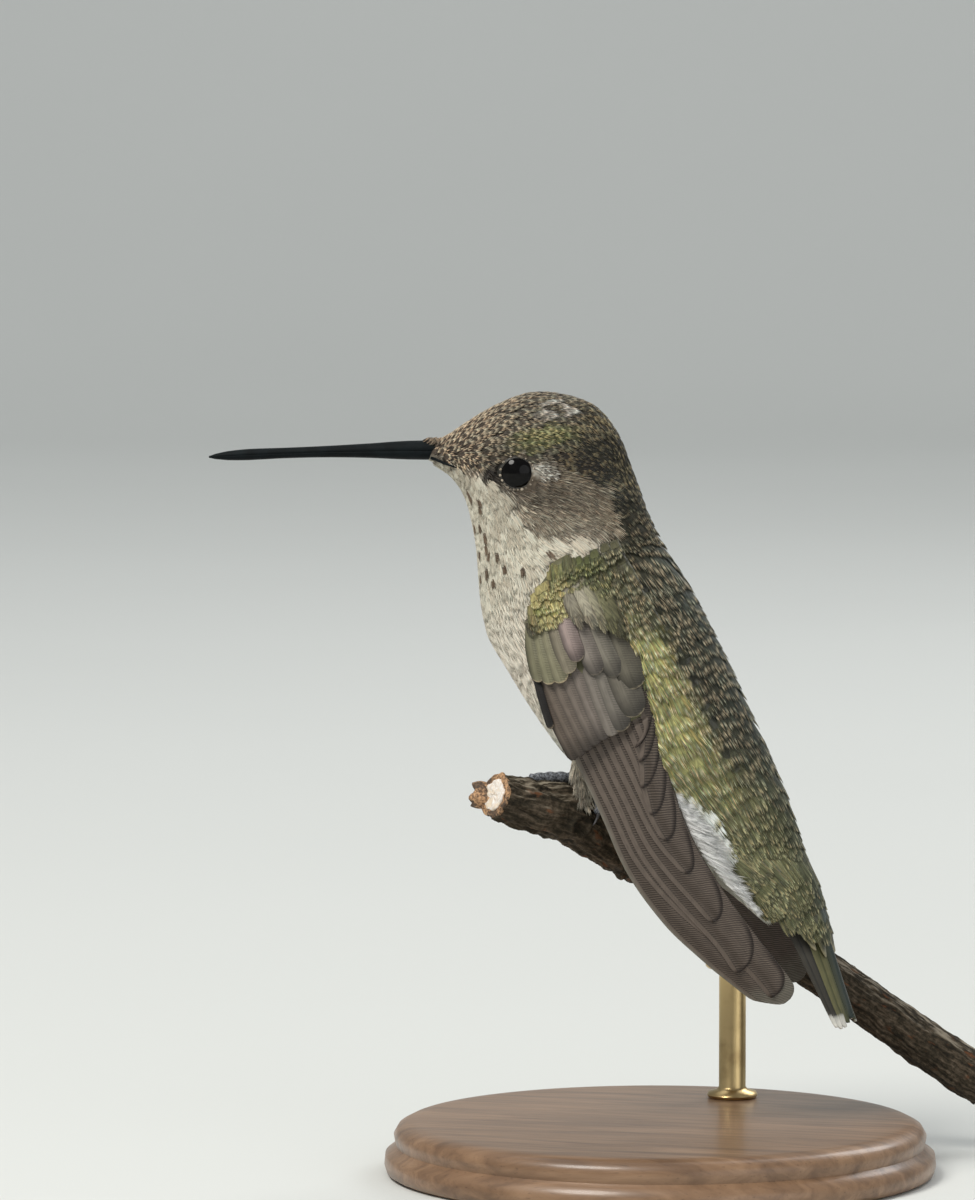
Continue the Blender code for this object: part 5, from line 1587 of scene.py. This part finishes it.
        def span(along):
            return np.interp(along, (-2, -1, 1, 4.6), (1.5, 2.4, 3.1, 3.6)), 6.2 if side < 0 else 3.8
        rows = np.arange(-2 if side < 0 else 0, 4.8, 0.7)
        along, across = self.scattered(rng, rows, span, 0.4, 0.85, 0.2)
        count = len(along)
        green = (1 - ease(-1.5, 2, along)) * (1 - ease(3.2, 5, across))
        core = paint(np.tile((0.088, 0.084, 0.043), (count, 1)), 0.8 * green, (0.075, 0.09, 0.026))
        rim = paint(np.tile((0.42, 0.37, 0.23), (count, 1)), 0.7 * green, (0.34, 0.36, 0.13))
        for tufts, chosen in ((small, along < -0.4), (plumes, along >= -0.4)):
            if chosen.any():
                run = along[chosen]
                length = np.interp(run, (-3, 0, 4), (1.7, 2.6, 3.1))
                width = np.interp(run, (-3, 0, 4), (1, 1.5, 1.9))
                colours = (core[chosen], rim[chosen], np.full(len(run), 0.2))
                self.grow(rng, coat, tufts, run, across[chosen], (length, width, -0.8, 0.36, 0.05, 0.08),
                          colours, side, 4, (0.18, 0.4, 0.15), 0.14)
        coat.finish()

    def grow(self, rng, coat, tufts, along, across, sizes, colours, side, turn, looks, sway):
        def point_at(run, over, out=0):
            return wing_point(run, over, out, side)
        turn = math.radians(turn)
        ahead = point_at(along + 0.1 * math.cos(turn), across + 0.1 * math.sin(turn))
        direction = ahead - point_at(along, across)
        bake = np.stack([(across + 8) / 16, (along + 4) / 24], axis=-1)
        grow_on(rng, coat, tufts, along, across, sizes, colours, direction, point_at, bake, looks, sway)


class HUMMINGBIRD_OT_tail(bpy.types.Operator):
    """Ten tail feathers, fanned over a low arch, under their long coverts"""

    bl_idname = "hummingbird.tail"
    bl_label = "Tail"

    # Long coverts over the tail: degrees from the ridge, first and last place, half width in mm
    LONG_COVERTS = ((76, 16.9, 22, 1), (62, 17.4, 23.4, 1.15), (45, 17.2, 22.6, 1.2),
                    (32, 17.9, 23.9, 1.2), (18, 17.3, 22.4, 1.2), (8, 18.2, 23.6, 1.2))
    # Colours of a tail feather and of its outer edge: the middle pair, the green pairs, the dark pairs
    COLOURS = (((0.024, 0.036, 0.03), (0.05, 0.055, 0.032)), ((0.055, 0.06, 0.03), (0.16, 0.15, 0.07)),
               ((0.02, 0.02, 0.018), (0.05, 0.045, 0.035)))
    WHITE = (0.66, 0.64, 0.58)

    def execute(self, context):
        vanes = Vanes(5, 2)
        for index in reversed(range(len(TAIL_LENGTHS))):
            for side in (-1, 1):
                vanes.add(*self.feather(index, side))
        place_piece(vanes.piece("tail_feathers"), flight_finish("Tail feathers"), "tail_feathers", "tail")
        coverts = Vanes(4, 3)
        for number, (degrees, first, last, half) in enumerate(self.LONG_COVERTS):
            for side in (-1, 1):
                coverts.add(*self.covert(number, side, math.radians(degrees), first, last, half))
        place_piece(coverts.piece("tail_coverts"), feather_finish("Tail coverts", 0.5, 0.5, 0.9, 0.13),
                    "body_feathers")
        return {"FINISHED"}

    def covert(self, number, side, centre, first, last, half):
        """A long covert that follows the body's end and lies down on the tail."""
        share = 1 - (1 - np.linspace(0, 1, 40)) ** 1.4
        length = 2.1 * (last - first)
        width = half * (0.5 + 0.5 * ease(0, 0.3, share)) * np.maximum(round_tip(share, 1, 0.24), 0.03)
        lift = -0.55 + 0.7 * ease(0.3, 0.75, share) + 0.1 * (number % 2) - 0.2 * ease(0.75, 1, share)

        def surface(run, across, rise):
            return body_point(first + run / 2.1, side * centre + across / 4.6, rise)
        built = vane(surface, share * length, -width, width, 0.1 * side * width, lift, 0.14, 0.05, 13)
        beside, run = built[2].T
        beside = -side * beside
        dark, gold, blue = np.array(((0.06, 0.058, 0.032), (0.27, 0.24, 0.115), (0.03, 0.042, 0.034)))
        colour = blend(dark, blue, ease(40, 5, math.degrees(centre)))
        colour = blend(colour, gold, 0.7 * ease(0.1, 0.85, -beside / half)[:, None])
        rim = ease(0.93, 0.99, run / length + 0.05 * (beside / half) ** 2)
        return built, glossed(paint(colour, 0.7 * rim, (0.34, 0.3, 0.19)), 0.25)

    def feather(self, index, side):
        centre = side * (index + 0.35) * TAIL_STEP
        length = TAIL_LENGTHS[index]
        span = math.hypot(TAIL_TIP[0] - TAIL_BASE[0], TAIL_TIP[1] - TAIL_BASE[1])
        share = length * (1 - (1 - np.linspace(0, 1, 34)) ** 1.5)
        half = 1.12 * np.maximum(0.04, round_tip(share, length, 0.13)) * (0.8 + 0.2 * ease(0, 0.4, share))

        def surface(run, across, lift):
            return tail_point(run / span, centre + across / TAIL_HALF_BREADTH, 0.1 * index - lift)
        built = vane(surface, share * span, -half, half, -0.25 * side * half, 0 * share, 0.08, 0.07, 15)
        beside, run = built[2].T
        near, far = np.array(self.COLOURS[(index + 1) // 2])
        colour = blend(near, far, 0.8 * ease(0.3, 0.95, side * beside)[:, None])
        if index >= 2:
            white = ease(0.92, 0.95, run / (span * length))
            white = white * (1 - 0.75 * ease(-0.1, 0.3, -side * beside) * (index < 4))
            colour = paint(colour, white, self.WHITE)
        return built, glossed(colour, 0.3 if index < 3 else 0.1)


# ---- the perch, the feet and the stand
def twig_at(place):
    row = smooth_rows(TWIG, place)
    ahead = normalised(smooth_rows(TWIG, place + 0.05)[..., :3] - smooth_rows(TWIG, place - 0.05)[..., :3])
    return row[..., :3], row[..., 3], ahead


def across_twig(ahead):
    """Two directions across the twig: up, and to one side."""
    up = normalised(np.array((0, 0, 1)) - ahead * ahead[2])
    return up, np.cross(ahead, up)


def circle(turn, first, second):
    """Directions at some angles from the first of two directions towards the second."""
    return np.outer(np.cos(turn), first) + np.outer(np.sin(turn), second)


def round_twig(place, degrees, out):
    """A point round the twig: an angle from straight up, towards the bird's front if positive."""
    centre, radius, ahead = twig_at(np.array(place))
    up, front = across_twig(ahead)
    front = -front if front[0] > 0 else front
    angle = math.radians(degrees)
    return centre + (up * math.cos(angle) + front * math.sin(angle)) * (radius + out)


class HUMMINGBIRD_OT_perch(bpy.types.Operator):
    """The cut twig: split bark, a pale cut face, a broken stub and bud scars"""

    bl_idname = "hummingbird.perch"
    bl_label = "Perch"

    # Sections of the cut face: shares of the twig's radius, and depths
    RIM = ((0.5, 0.5), (0.9, 0.4), (0.99, 0.1), (0.98, -0.05), (0.9, -0.16), (0.74, -0.12), (0.5, 0.05))
    DISC = ((0.3, 0.3), (0.66, 0.2), (0.7, -0.12), (0.66, -0.24), (0.55, -0.25), (0.3, -0.2), (0.12, -0.27),
            (0.03, -0.23))

    def execute(self, context):
        place_piece(self.twig(), self.bark(), "bark", "perch")
        cut = self.wood("Cut wood", (0.7, 0.6, 0.5), (0.86, 0.84, 0.8), (0.72, 0.6, 0.44))
        stub = self.wood("Stub wood", (0.09, 0.05, 0.027), (0.56, 0.33, 0.17), (0.035, 0.026, 0.02))
        place_piece(new_piece("twig_cut", *self.cut_face(self.DISC)), cut, "bark")
        place_piece(new_piece("twig_rim", *self.cut_face(self.RIM)), stub, "bark")
        place_piece(new_piece("twig_stub", *self.stub()), stub, "bark")
        return {"FINISHED"}

    def bark(self):
        """Dark bark with fibres along the twig and rusty splits, with a painted highlight that makes its
        ridges pale on its upper side.
        """
        finish = Finish("Bark", 0.85, specular_ior_level=0.2)
        at = finish.place()
        around, along, _ = finish.parts(finish.map("Vane"))
        warp = finish.mottle(at, 500, 3)
        fibre = finish.mottle(finish.vector(around * 2.2 + warp * 2, along * 0.32, 0), 1, 4, 0.62)
        fine = finish.mottle(at, 2400, 4, 0.6)
        base = finish.ramp(fibre * 0.65 + fine * 0.35, (0.34, (0.007, 0.006, 0.004)),
                           (0.48, (0.038, 0.03, 0.019)), (0.6, (0.11, 0.084, 0.058)),
                           (0.75, (0.26, 0.205, 0.15)))
        rust = finish.mottle(finish.vector(around * 1.4, along * 0.5, 4), 1, 2).between(0.62, 0.72)
        colour = finish.mix(rust * 0.55, base, (0.17, 0.06, 0.022))
        # painted highlight: fibres paled where the bark faces up
        top = finish.parts(finish.node("ShaderNodeNewGeometry", output=1))[2]
        pale = top.between(0.35, 0.9) * fibre.between(0.46, 0.6)
        finish.drive(Base_Color=finish.mix(pale * 0.75, colour, (0.34, 0.3, 0.23)))
        finish.bump(fine * 0.5 + fibre, 0.9, 0.0003)
        return finish.material

    def wood(self, name, low, high, stain):
        finish = Finish(name, 0.75)
        at = finish.place()
        fine = finish.mottle(at, 4200, 4)
        wide = finish.mottle(at, 900, 3)
        pale = finish.mix(fine.between(0.35, 0.65), low, high)
        finish.drive(Base_Color=finish.mix(wide.between(0.48, 0.62) * 0.8, pale, stain))
        finish.bump(fine, 0.5, 0.0001)
        return finish.material

    def twig(self):
        """The bark, with its ridges, flakes and lumps, and the knot under the feet."""
        rows, columns = 460, 96
        place = np.linspace(0, len(TWIG) - 1, rows)
        centre, radius, ahead = twig_at(place)
        along = np.concatenate([[0], np.cumsum(np.linalg.norm(np.diff(centre, axis=0), axis=1))])
        rings, side = [], np.array((0, 0, 1))
        turn = full_turn(columns)
        for k in range(rows):
            side = normalised(side - ahead[k] * side.dot(ahead[k]))
            other = np.cross(ahead[k], side)
            rough = 1 - 0.5 * float(ease(20, 30, along[k]))
            ring = []
            for angle in turn:
                cosine, sine = math.cos(angle), math.sin(angle)
                ridge = 1 - abs(noise.noise(Vector((cosine * 3.4, sine * 3.4, along[k] * 0.26)))) * 2
                flake = noise.fractal(Vector((cosine * 3, sine * 3, along[k] * 0.8)), 1, 2.2, 4)
                bump = max(0, noise.noise(Vector((cosine * 1.2 + 7, sine * 1.2, along[k] * 0.45))) - 0.15)
                low = max(0, -cosine)
                scar = math.hypot(along[k] - 8.4, 2.8 * wrapped(angle - math.radians(112)))
                scar = 0.3 * math.exp(-((scar - 0.95) / 0.3) ** 2) - 0.25 * math.exp(-(scar / 0.5) ** 2)
                lift = rough * (0.24 * ridge - 0.26 + 0.2 * flake + (0.2 + 0.8 * low) * bump) + scar
                ring.append(centre[k] + (radius[k] + lift) * (side * cosine + other * sine))
            rings.append(ring)
        points, triangles = closed_tube(np.array(rings))
        chart = np.stack([np.tile(turn / TAU * 15, rows), np.repeat(along, columns)], axis=-1)
        chart = np.concatenate([chart, ((0, along[0]), (0, along[-1]))])
        knot, facets = closed_tube(ellipsoid_rings(KNOT_AT, (KNOT_RADIUS,) * 3, 16, 24))
        return new_piece("twig_bark", *joined([(points, triangles), (knot, facets)]),
                         vane=np.concatenate([chart, knot[:, :2]]))

    def stub(self):
        """A short broken stub beside the cut, hollow at its end."""
        steps = np.linspace(0, 1, 16)
        path = np.array(STUB_FROM) + (np.array(STUB_TO) - np.array(STUB_FROM)) * steps[:, None]
        path = np.concatenate([path, path[-1] - (path[-1] - path[-4]) * np.array((0.05, 0.9, 2.2))[:, None]])
        radii = STUB_RADII[0] + (STUB_RADII[1] - STUB_RADII[0]) * steps + 0.12 * np.sin(9 * steps)
        radii = np.concatenate([radii, radii[-1] * np.array((0.72, 0.6, 0.4))])
        ahead = normalised(path[8] - path[0])
        up, other = across_twig(ahead)
        turn = full_turn(28)
        ragged = 1 + 0.1 * np.sin(turn * 3 + 1) + 0.06 * np.sin(turn * 7)
        rings = [point + radius * ragged[:, None] * circle(turn, up, other)
                 + ahead * (0.25 * share * np.sin(turn * 4 + 2))[:, None]
                 for point, radius, share in zip(path, radii, np.concatenate([steps ** 4, (0.6, 0, 0)]))]
        return closed_tube(np.array(rings))

    def cut_face(self, profile):
        """A ragged disc or ring on the twig's cut end, from shares of its radius and depths."""
        centre, radius, ahead = twig_at(np.array(0))
        up, other = across_twig(ahead)
        turn = full_turn(64)
        ragged = 1 + 0.04 * np.sin(turn * 5 + 1) + 0.03 * np.sin(turn * 11)
        rings = []
        for share, depth in profile:
            ring = centre + ahead * depth + radius * share * ragged[:, None] * circle(turn, up, other)
            rings.append(ring + ahead * (0.06 * np.sin(turn * 7 + share * 9))[:, None])
        return closed_tube(np.array(rings))


class HUMMINGBIRD_OT_feet(bpy.types.Operator):
    """Scaled toes that grip the twig, their claws, and the down of the thighs"""

    bl_idname = "hummingbird.feet"
    bl_label = "Feet and thighs"

    def execute(self, context):
        horn = context.scene.hummingbird_horn
        scales = Finish("Toe scales", 0.5, coat_weight=0.15, coat_roughness=0.3)
        fine = scales.mottle(scales.place(), 5200, 3)
        tone = scales.mix(fine.between(0.35, 0.65), times(horn.foot, 0.6), times(horn.foot, 3.8))
        scales.drive(Base_Color=tone)
        scales.bump(fine, 0.6, 0.00008)
        claws = Finish("Claws", 0.2, coat_weight=0.5, coat_roughness=0.1)
        tone = claws.mottle(claws.place(), 3000, 2).between(0.3, 0.7)
        claws.drive(Base_Color=claws.mix(tone, horn.claw, times(horn.claw, 2.5)))
        for which, place in FEET:
            toes, nails = map(list, zip(*(self.toe(place, *numbers) for numbers in TOES)))
            base_point = round_twig(place, FOOT_ROLL, TOE_CLEARANCE + 0.75)
            top = base_point + np.array((0.9, 0, 1.7))
            steps = np.linspace(-0.15, 1, 24)
            path = base_point + (top - base_point) * steps[:, None]
            toes.append(sweep(path, SHANK_RADIUS * (1 + 0.1 * np.abs(np.sin(steps * 14))), 16))
            place_piece(new_piece(f"toes_{which}", *joined(toes)), scales.material, "foot", f"foot_{which}")
            place_piece(new_piece(f"claws_{which}", *joined(nails)), claws.material, "foot")
        self.thighs(context.scene.hummingbird_plumage)
        return {"FINISHED"}

    def toe(self, place, run, sweep_to, thick):
        """One toe laid round the twig, and its claw."""
        def at(share, drop=0):
            return round_twig(place + run * share / TWIG_STEP, FOOT_ROLL + (sweep_to - FOOT_ROLL) * share,
                              TOE_CLEARANCE + thick + 0.25 * (1 - share) - drop)
        points, radii = [], []
        for s in np.linspace(0, 0.82, 40):
            points.append(at(s))
            lump = 1 + 0.22 * abs(math.sin(s * 17))
            radii.append(thick * (1.35 - 0.4 * s) * lump * min(1, 6 * (0.835 - s) ** 0.5))
        share = np.linspace(0.78, 1.06, 14)
        nail = np.array([at(s, 5.5 * (s - 0.78) ** 2) for s in share])
        thin = thick * 0.62 * (1 - ((share - 0.78) / 0.29)) ** 0.8 + 0.015
        return sweep(np.array(points), np.array(radii), 14), sweep(nail, thin, 10, 0.8)

    def thighs(self, paints):
        """Down that hangs from the thighs over the feet."""
        rng = np.random.default_rng(paints.seed + 40)
        finish = feather_finish("Down", 0.75, 0, 0.3)
        locks = [lock(rng, 8, 0.04, 0.4) for _ in range(5)]
        dips, half = np.arange(30, 176, 12), np.array(LEG_HALF) - (0.75, 0.6, 0.4)
        for which, centre in LEG_AT.items():
            coat = Coat(f"thigh_down_{which}", finish, "down")
            dip = np.radians(np.repeat(dips, 16))
            turn = np.tile(full_turn(16), len(dips)) + rng.uniform(-0.15, 0.15, len(dip))
            unit = np.stack([np.sin(dip) * np.cos(turn), np.sin(dip) * np.sin(turn), np.cos(dip)], axis=-1)
            root = np.array(centre) + (0.35, 0, 0) + unit * half
            normal = normalised(unit / half)
            ahead = np.array((0, 0, -1)) + normal * 0.15 + rng.uniform(-0.12, 0.12, (len(root), 3))
            ahead[unit[:, 2] < -0.85] += normal[unit[:, 2] < -0.85] * 0.4
            tone = rng.uniform(0.6, 1, (len(root), 1))
            colours = (np.array([(0.36, 0.32, 0.25)]) * tone, np.array([(0.84, 0.77, 0.63)]) * tone,
                       np.zeros(len(root)))
            bake = np.stack([turn / TAU % 1 * 0.1, dip / math.pi * 0.1], axis=-1)
            sizes = (rng.uniform(1.4, 2.5, len(root)), 0.7, 0, 0.2, 0.05, 0.02)
            grow_free(rng, coat, locks, root, ahead, normal, sizes, colours, bake, (0.1, 0.2, 0.05))
            coat.finish()


class HUMMINGBIRD_OT_stand(bpy.types.Operator):
    """A turned wooden base, and a brass rod with a saddle under the twig"""

    bl_idname = "hummingbird.stand"
    bl_label = "Stand"

    def execute(self, context):
        base = self.turned_piece("base_wood", BASE_PROFILE, (0, 0), 160)
        place_piece(base, self.wood(), "wood", "stand_base")
        brass = self.brass()
        place_piece(self.turned_piece("rod_brass", ROD_PROFILE, ROD_AT, 64), brass, "brass", "stand_rod")
        place_piece(self.saddle(), brass, "brass", "stand_saddle")
        return {"FINISHED"}

    def sharp_piece(self, name, rings):
        """A piece through rings whose hard edges stay sharp."""
        piece = new_piece(name, *closed_tube(np.array(rings)))
        piece.data.set_sharp_from_angle(angle=math.radians(50))
        return piece

    def turned_piece(self, name, profile, at, sides):
        """A piece turned on a lathe from its profile of (radius, height)."""
        turn = full_turn(sides)
        return self.sharp_piece(name, [np.stack([
            at[0] + radius * np.cos(turn), at[1] + radius * np.sin(turn), 0 * turn + height], axis=-1)
            for radius, height in profile])

    def saddle(self):
        """A short cup whose top follows the underside of the twig."""
        turn = full_turn(64)
        centre, radius, _ = twig_at(np.linspace(0, 11, 2201))
        rings = []
        for reach, level in ((SADDLE_RADIUS - 0.2, SADDLE_FROM), (SADDLE_RADIUS, SADDLE_FROM + 0.2),
                             (SADDLE_RADIUS, None), (SADDLE_RADIUS - 0.35, None), (1.6, None), (0.8, None),
                             (0.1, None)):
            x, y = ROD_AT[0] + reach * np.cos(turn), ROD_AT[1] + reach * np.sin(turn)
            z = [self.underside(px, py, centre, radius) if level is None else level for px, py in zip(x, y)]
            rings.append(np.stack([x, y, z], axis=-1))
        return self.sharp_piece("saddle_brass", rings)

    def underside(self, x, y, centre, radius):
        """The height of the twig's underside over a point, less a small gap, within the saddle."""
        away = np.hypot(centre[:, 0] - x, centre[:, 1] - y)
        drop = np.sqrt(np.maximum((radius + 0.3) ** 2 - away ** 2, 0))
        level = np.where(drop > 0, centre[:, 2] - drop, SADDLE_TO).min()
        return min(max(level, SADDLE_FROM + 0.4), SADDLE_TO)

    def wood(self):
        finish = Finish("Stand wood", 0.42, coat_weight=0.35, coat_roughness=0.2)
        grain = finish.mottle(finish.scaled(finish.place(), (1, 9, 9)), 60, 6, 0.6, 0.8)
        pores = finish.mottle(finish.scaled(finish.place(), (1, 26, 26)), 180, 4)
        colour = finish.ramp(grain, (0.3, (0.13, 0.07, 0.035)), (0.5, (0.22, 0.125, 0.065)),
                             (0.7, (0.3, 0.18, 0.1)))
        colour = finish.mix(pores.between(0.6, 0.72) * 0.5, colour, (0.07, 0.035, 0.018))
        finish.drive(Base_Color=colour, Roughness=0.36 + pores * 0.16)
        finish.bump(pores, 0.15, 0.0001)
        return finish.material

    def brass(self):
        finish = Finish("Stand brass", 0.28, metallic=1)
        cloud = finish.mottle(finish.place(), 260, 4)
        turned_marks = finish.mottle(finish.scaled(finish.place(), (1, 1, 30)), 320, 2)
        finish.drive(Base_Color=finish.mix(cloud.between(0.45, 0.7), (0.6, 0.45, 0.22), (0.42, 0.3, 0.14)),
                     Roughness=0.2 + cloud * 0.2 + turned_marks * 0.06)
        finish.bump(turned_marks, 0.08, 0.00005)
        return finish.material


# ---- the stage
class HUMMINGBIRD_OT_stage(bpy.types.Operator):
    """A plain pale floor that sweeps up behind the bird, soft lights and the camera"""

    bl_idname = "hummingbird.stage"
    bl_label = "Stage"

    def execute(self, context):
        view = context.scene.hummingbird_stage
        side, back, up = self.axes(view)
        self.sweep_floor(back)
        middle = side * VIEW_MIDDLE[0] * MM + up * VIEW_MIDDLE[1] * MM
        data = bpy.data.cameras.new("Camera")
        data.lens = view.lens
        data.sensor_width = 36
        data.clip_start, data.clip_end = 0.05, 20
        camera = bpy.data.objects.new("Camera", data)
        context.scene.collection.objects.link(camera)
        camera.location = middle + back * view.distance
        camera.rotation_euler = back.to_track_quat("Z", "Y").to_euler()
        context.scene.camera = camera
        target = Vector((-0.002, 0, 0.052))
        power = view.key
        self.area("Key light", target + back * 0.42 - side * 0.36 + up * 0.62, target, 0.34, 5.6 * power,
                  (1, 0.965, 0.91))
        self.area("Fill light", target + back * 0.7 + side * 0.55 + up * 0.12, target, 0.9, 2 * power,
                  (0.98, 0.99, 1))
        self.area("Rim light", target - back * 0.5 + side * 0.5 + up * 0.6, target, 0.4, 2.2 * power,
                  (1, 1, 1))
        self.area("Backdrop light", -back * 0.7 + up * 1.6, -back * 1.9 + up * 0.4, 1.6, 8 * power,
                  (1, 1, 1))
        world = bpy.data.worlds.new("Studio")
        context.scene.world = world
        world.use_nodes = True
        background = world.node_tree.nodes["Background"]
        background.inputs["Color"].default_value = (0.96, 0.98, 1, 1)
        background.inputs["Strength"].default_value = 0.36
        context.scene.view_settings.view_transform = "Standard"
        return {"FINISHED"}

    def axes(self, view):
        """Across the view, from the subject back to the camera, and up the view."""
        turn, dip = view.azimuth, view.elevation
        side = Vector((math.cos(turn), math.sin(turn), 0))
        back = Vector((math.sin(turn) * math.cos(dip), -math.cos(turn) * math.cos(dip), math.sin(dip)))
        return side, back, back.cross(side)

    def sweep_floor(self, back):
        """A floor that bends up into a backdrop far behind the bird."""
        paper = Finish("Floor", 0.85, specular_ior_level=0.2)
        cloud = paper.mottle(paper.place(), 3, 3)
        paper.drive(Base_Color=paper.mix(cloud, (0.66, 0.68, 0.66), (0.7, 0.72, 0.7)))
        away = np.array((-back.x, -back.y)) / math.hypot(back.x, back.y)
        beside = np.array((away[1], -away[0]))
        bend = np.linspace(0, math.pi / 2, 24)
        run = np.concatenate([[-3000, 0, 900], 1500 + 700 * np.sin(bend), [2200]])
        rise = np.concatenate([[0, 0, 0], 700 * (1 - np.cos(bend)), [3200]])
        spread = np.linspace(-3500, 3500, 9)
        flat = away * run[:, None, None] + beside * spread[None, :, None]
        upright = np.repeat(rise[:, None, None], len(spread), axis=1)
        points = np.concatenate([flat, upright], axis=-1).reshape(-1, 3)
        triangles = grid_triangles(len(run), len(spread), False)
        corners = points[triangles[0]]
        if np.cross(corners[1] - corners[0], corners[2] - corners[0])[2] < 0:
            triangles = triangles[:, ::-1]
        floor = new_piece("floor", points, triangles)
        floor.data.materials.append(paper.material)

    def area(self, name, at, target, size, power, colour):
        data = bpy.data.lights.new(name, "AREA")
        data.shape = "DISK"
        data.size = size
        data.energy = power
        data.color = colour
        light = bpy.data.objects.new(name, data)
        bpy.context.scene.collection.objects.link(light)
        light.location = at
        light.rotation_euler = (at - target).to_track_quat("Z", "Y").to_euler()


class HUMMINGBIRD_PT_panel(bpy.types.Panel):
    """Builds the bird piece by piece"""

    bl_idname = "HUMMINGBIRD_PT_panel"
    bl_label = "Hummingbird"
    bl_space_type = "VIEW_3D"
    bl_region_type = "UI"
    bl_category = "Hummingbird"

    def draw(self, context):
        scene = context.scene
        for group in (scene.hummingbird_plumage, scene.hummingbird_horn, scene.hummingbird_stage):
            box = self.layout.box()
            for name in group.__annotations__:
                box.prop(group, name)
        for operator in OPERATORS:
            self.layout.operator(operator.bl_idname)


GROUPS = {"hummingbird_plumage": HUMMINGBIRD_PG_plumage, "hummingbird_horn": HUMMINGBIRD_PG_horn,
          "hummingbird_stage": HUMMINGBIRD_PG_stage}
OPERATORS = (HUMMINGBIRD_OT_skin, HUMMINGBIRD_OT_coat, HUMMINGBIRD_OT_eyes, HUMMINGBIRD_OT_bill,
             HUMMINGBIRD_OT_flight, HUMMINGBIRD_OT_coverts, HUMMINGBIRD_OT_tail, HUMMINGBIRD_OT_perch,
             HUMMINGBIRD_OT_feet, HUMMINGBIRD_OT_stand, HUMMINGBIRD_OT_stage)


def register():
    for cls in (*GROUPS.values(), *OPERATORS, HUMMINGBIRD_PT_panel):
        bpy.utils.register_class(cls)
    for name, group in GROUPS.items():
        setattr(bpy.types.Scene, name, bpy.props.PointerProperty(type=group))


def unregister():
    for name in GROUPS:
        delattr(bpy.types.Scene, name)
    for cls in reversed((*GROUPS.values(), *OPERATORS, HUMMINGBIRD_PT_panel)):
        bpy.utils.unregister_class(cls)


def main():
    register()
    bpy.ops.hummingbird.skin()
    bpy.ops.hummingbird.coat()
    bpy.ops.hummingbird.eyes()
    bpy.ops.hummingbird.bill()
    bpy.ops.hummingbird.flight()
    bpy.ops.hummingbird.coverts()
    bpy.ops.hummingbird.tail()
    bpy.ops.hummingbird.perch()
    bpy.ops.hummingbird.feet()
    bpy.ops.hummingbird.stand()
    bpy.ops.hummingbird.stage()


if __name__ == "__main__":
    main()
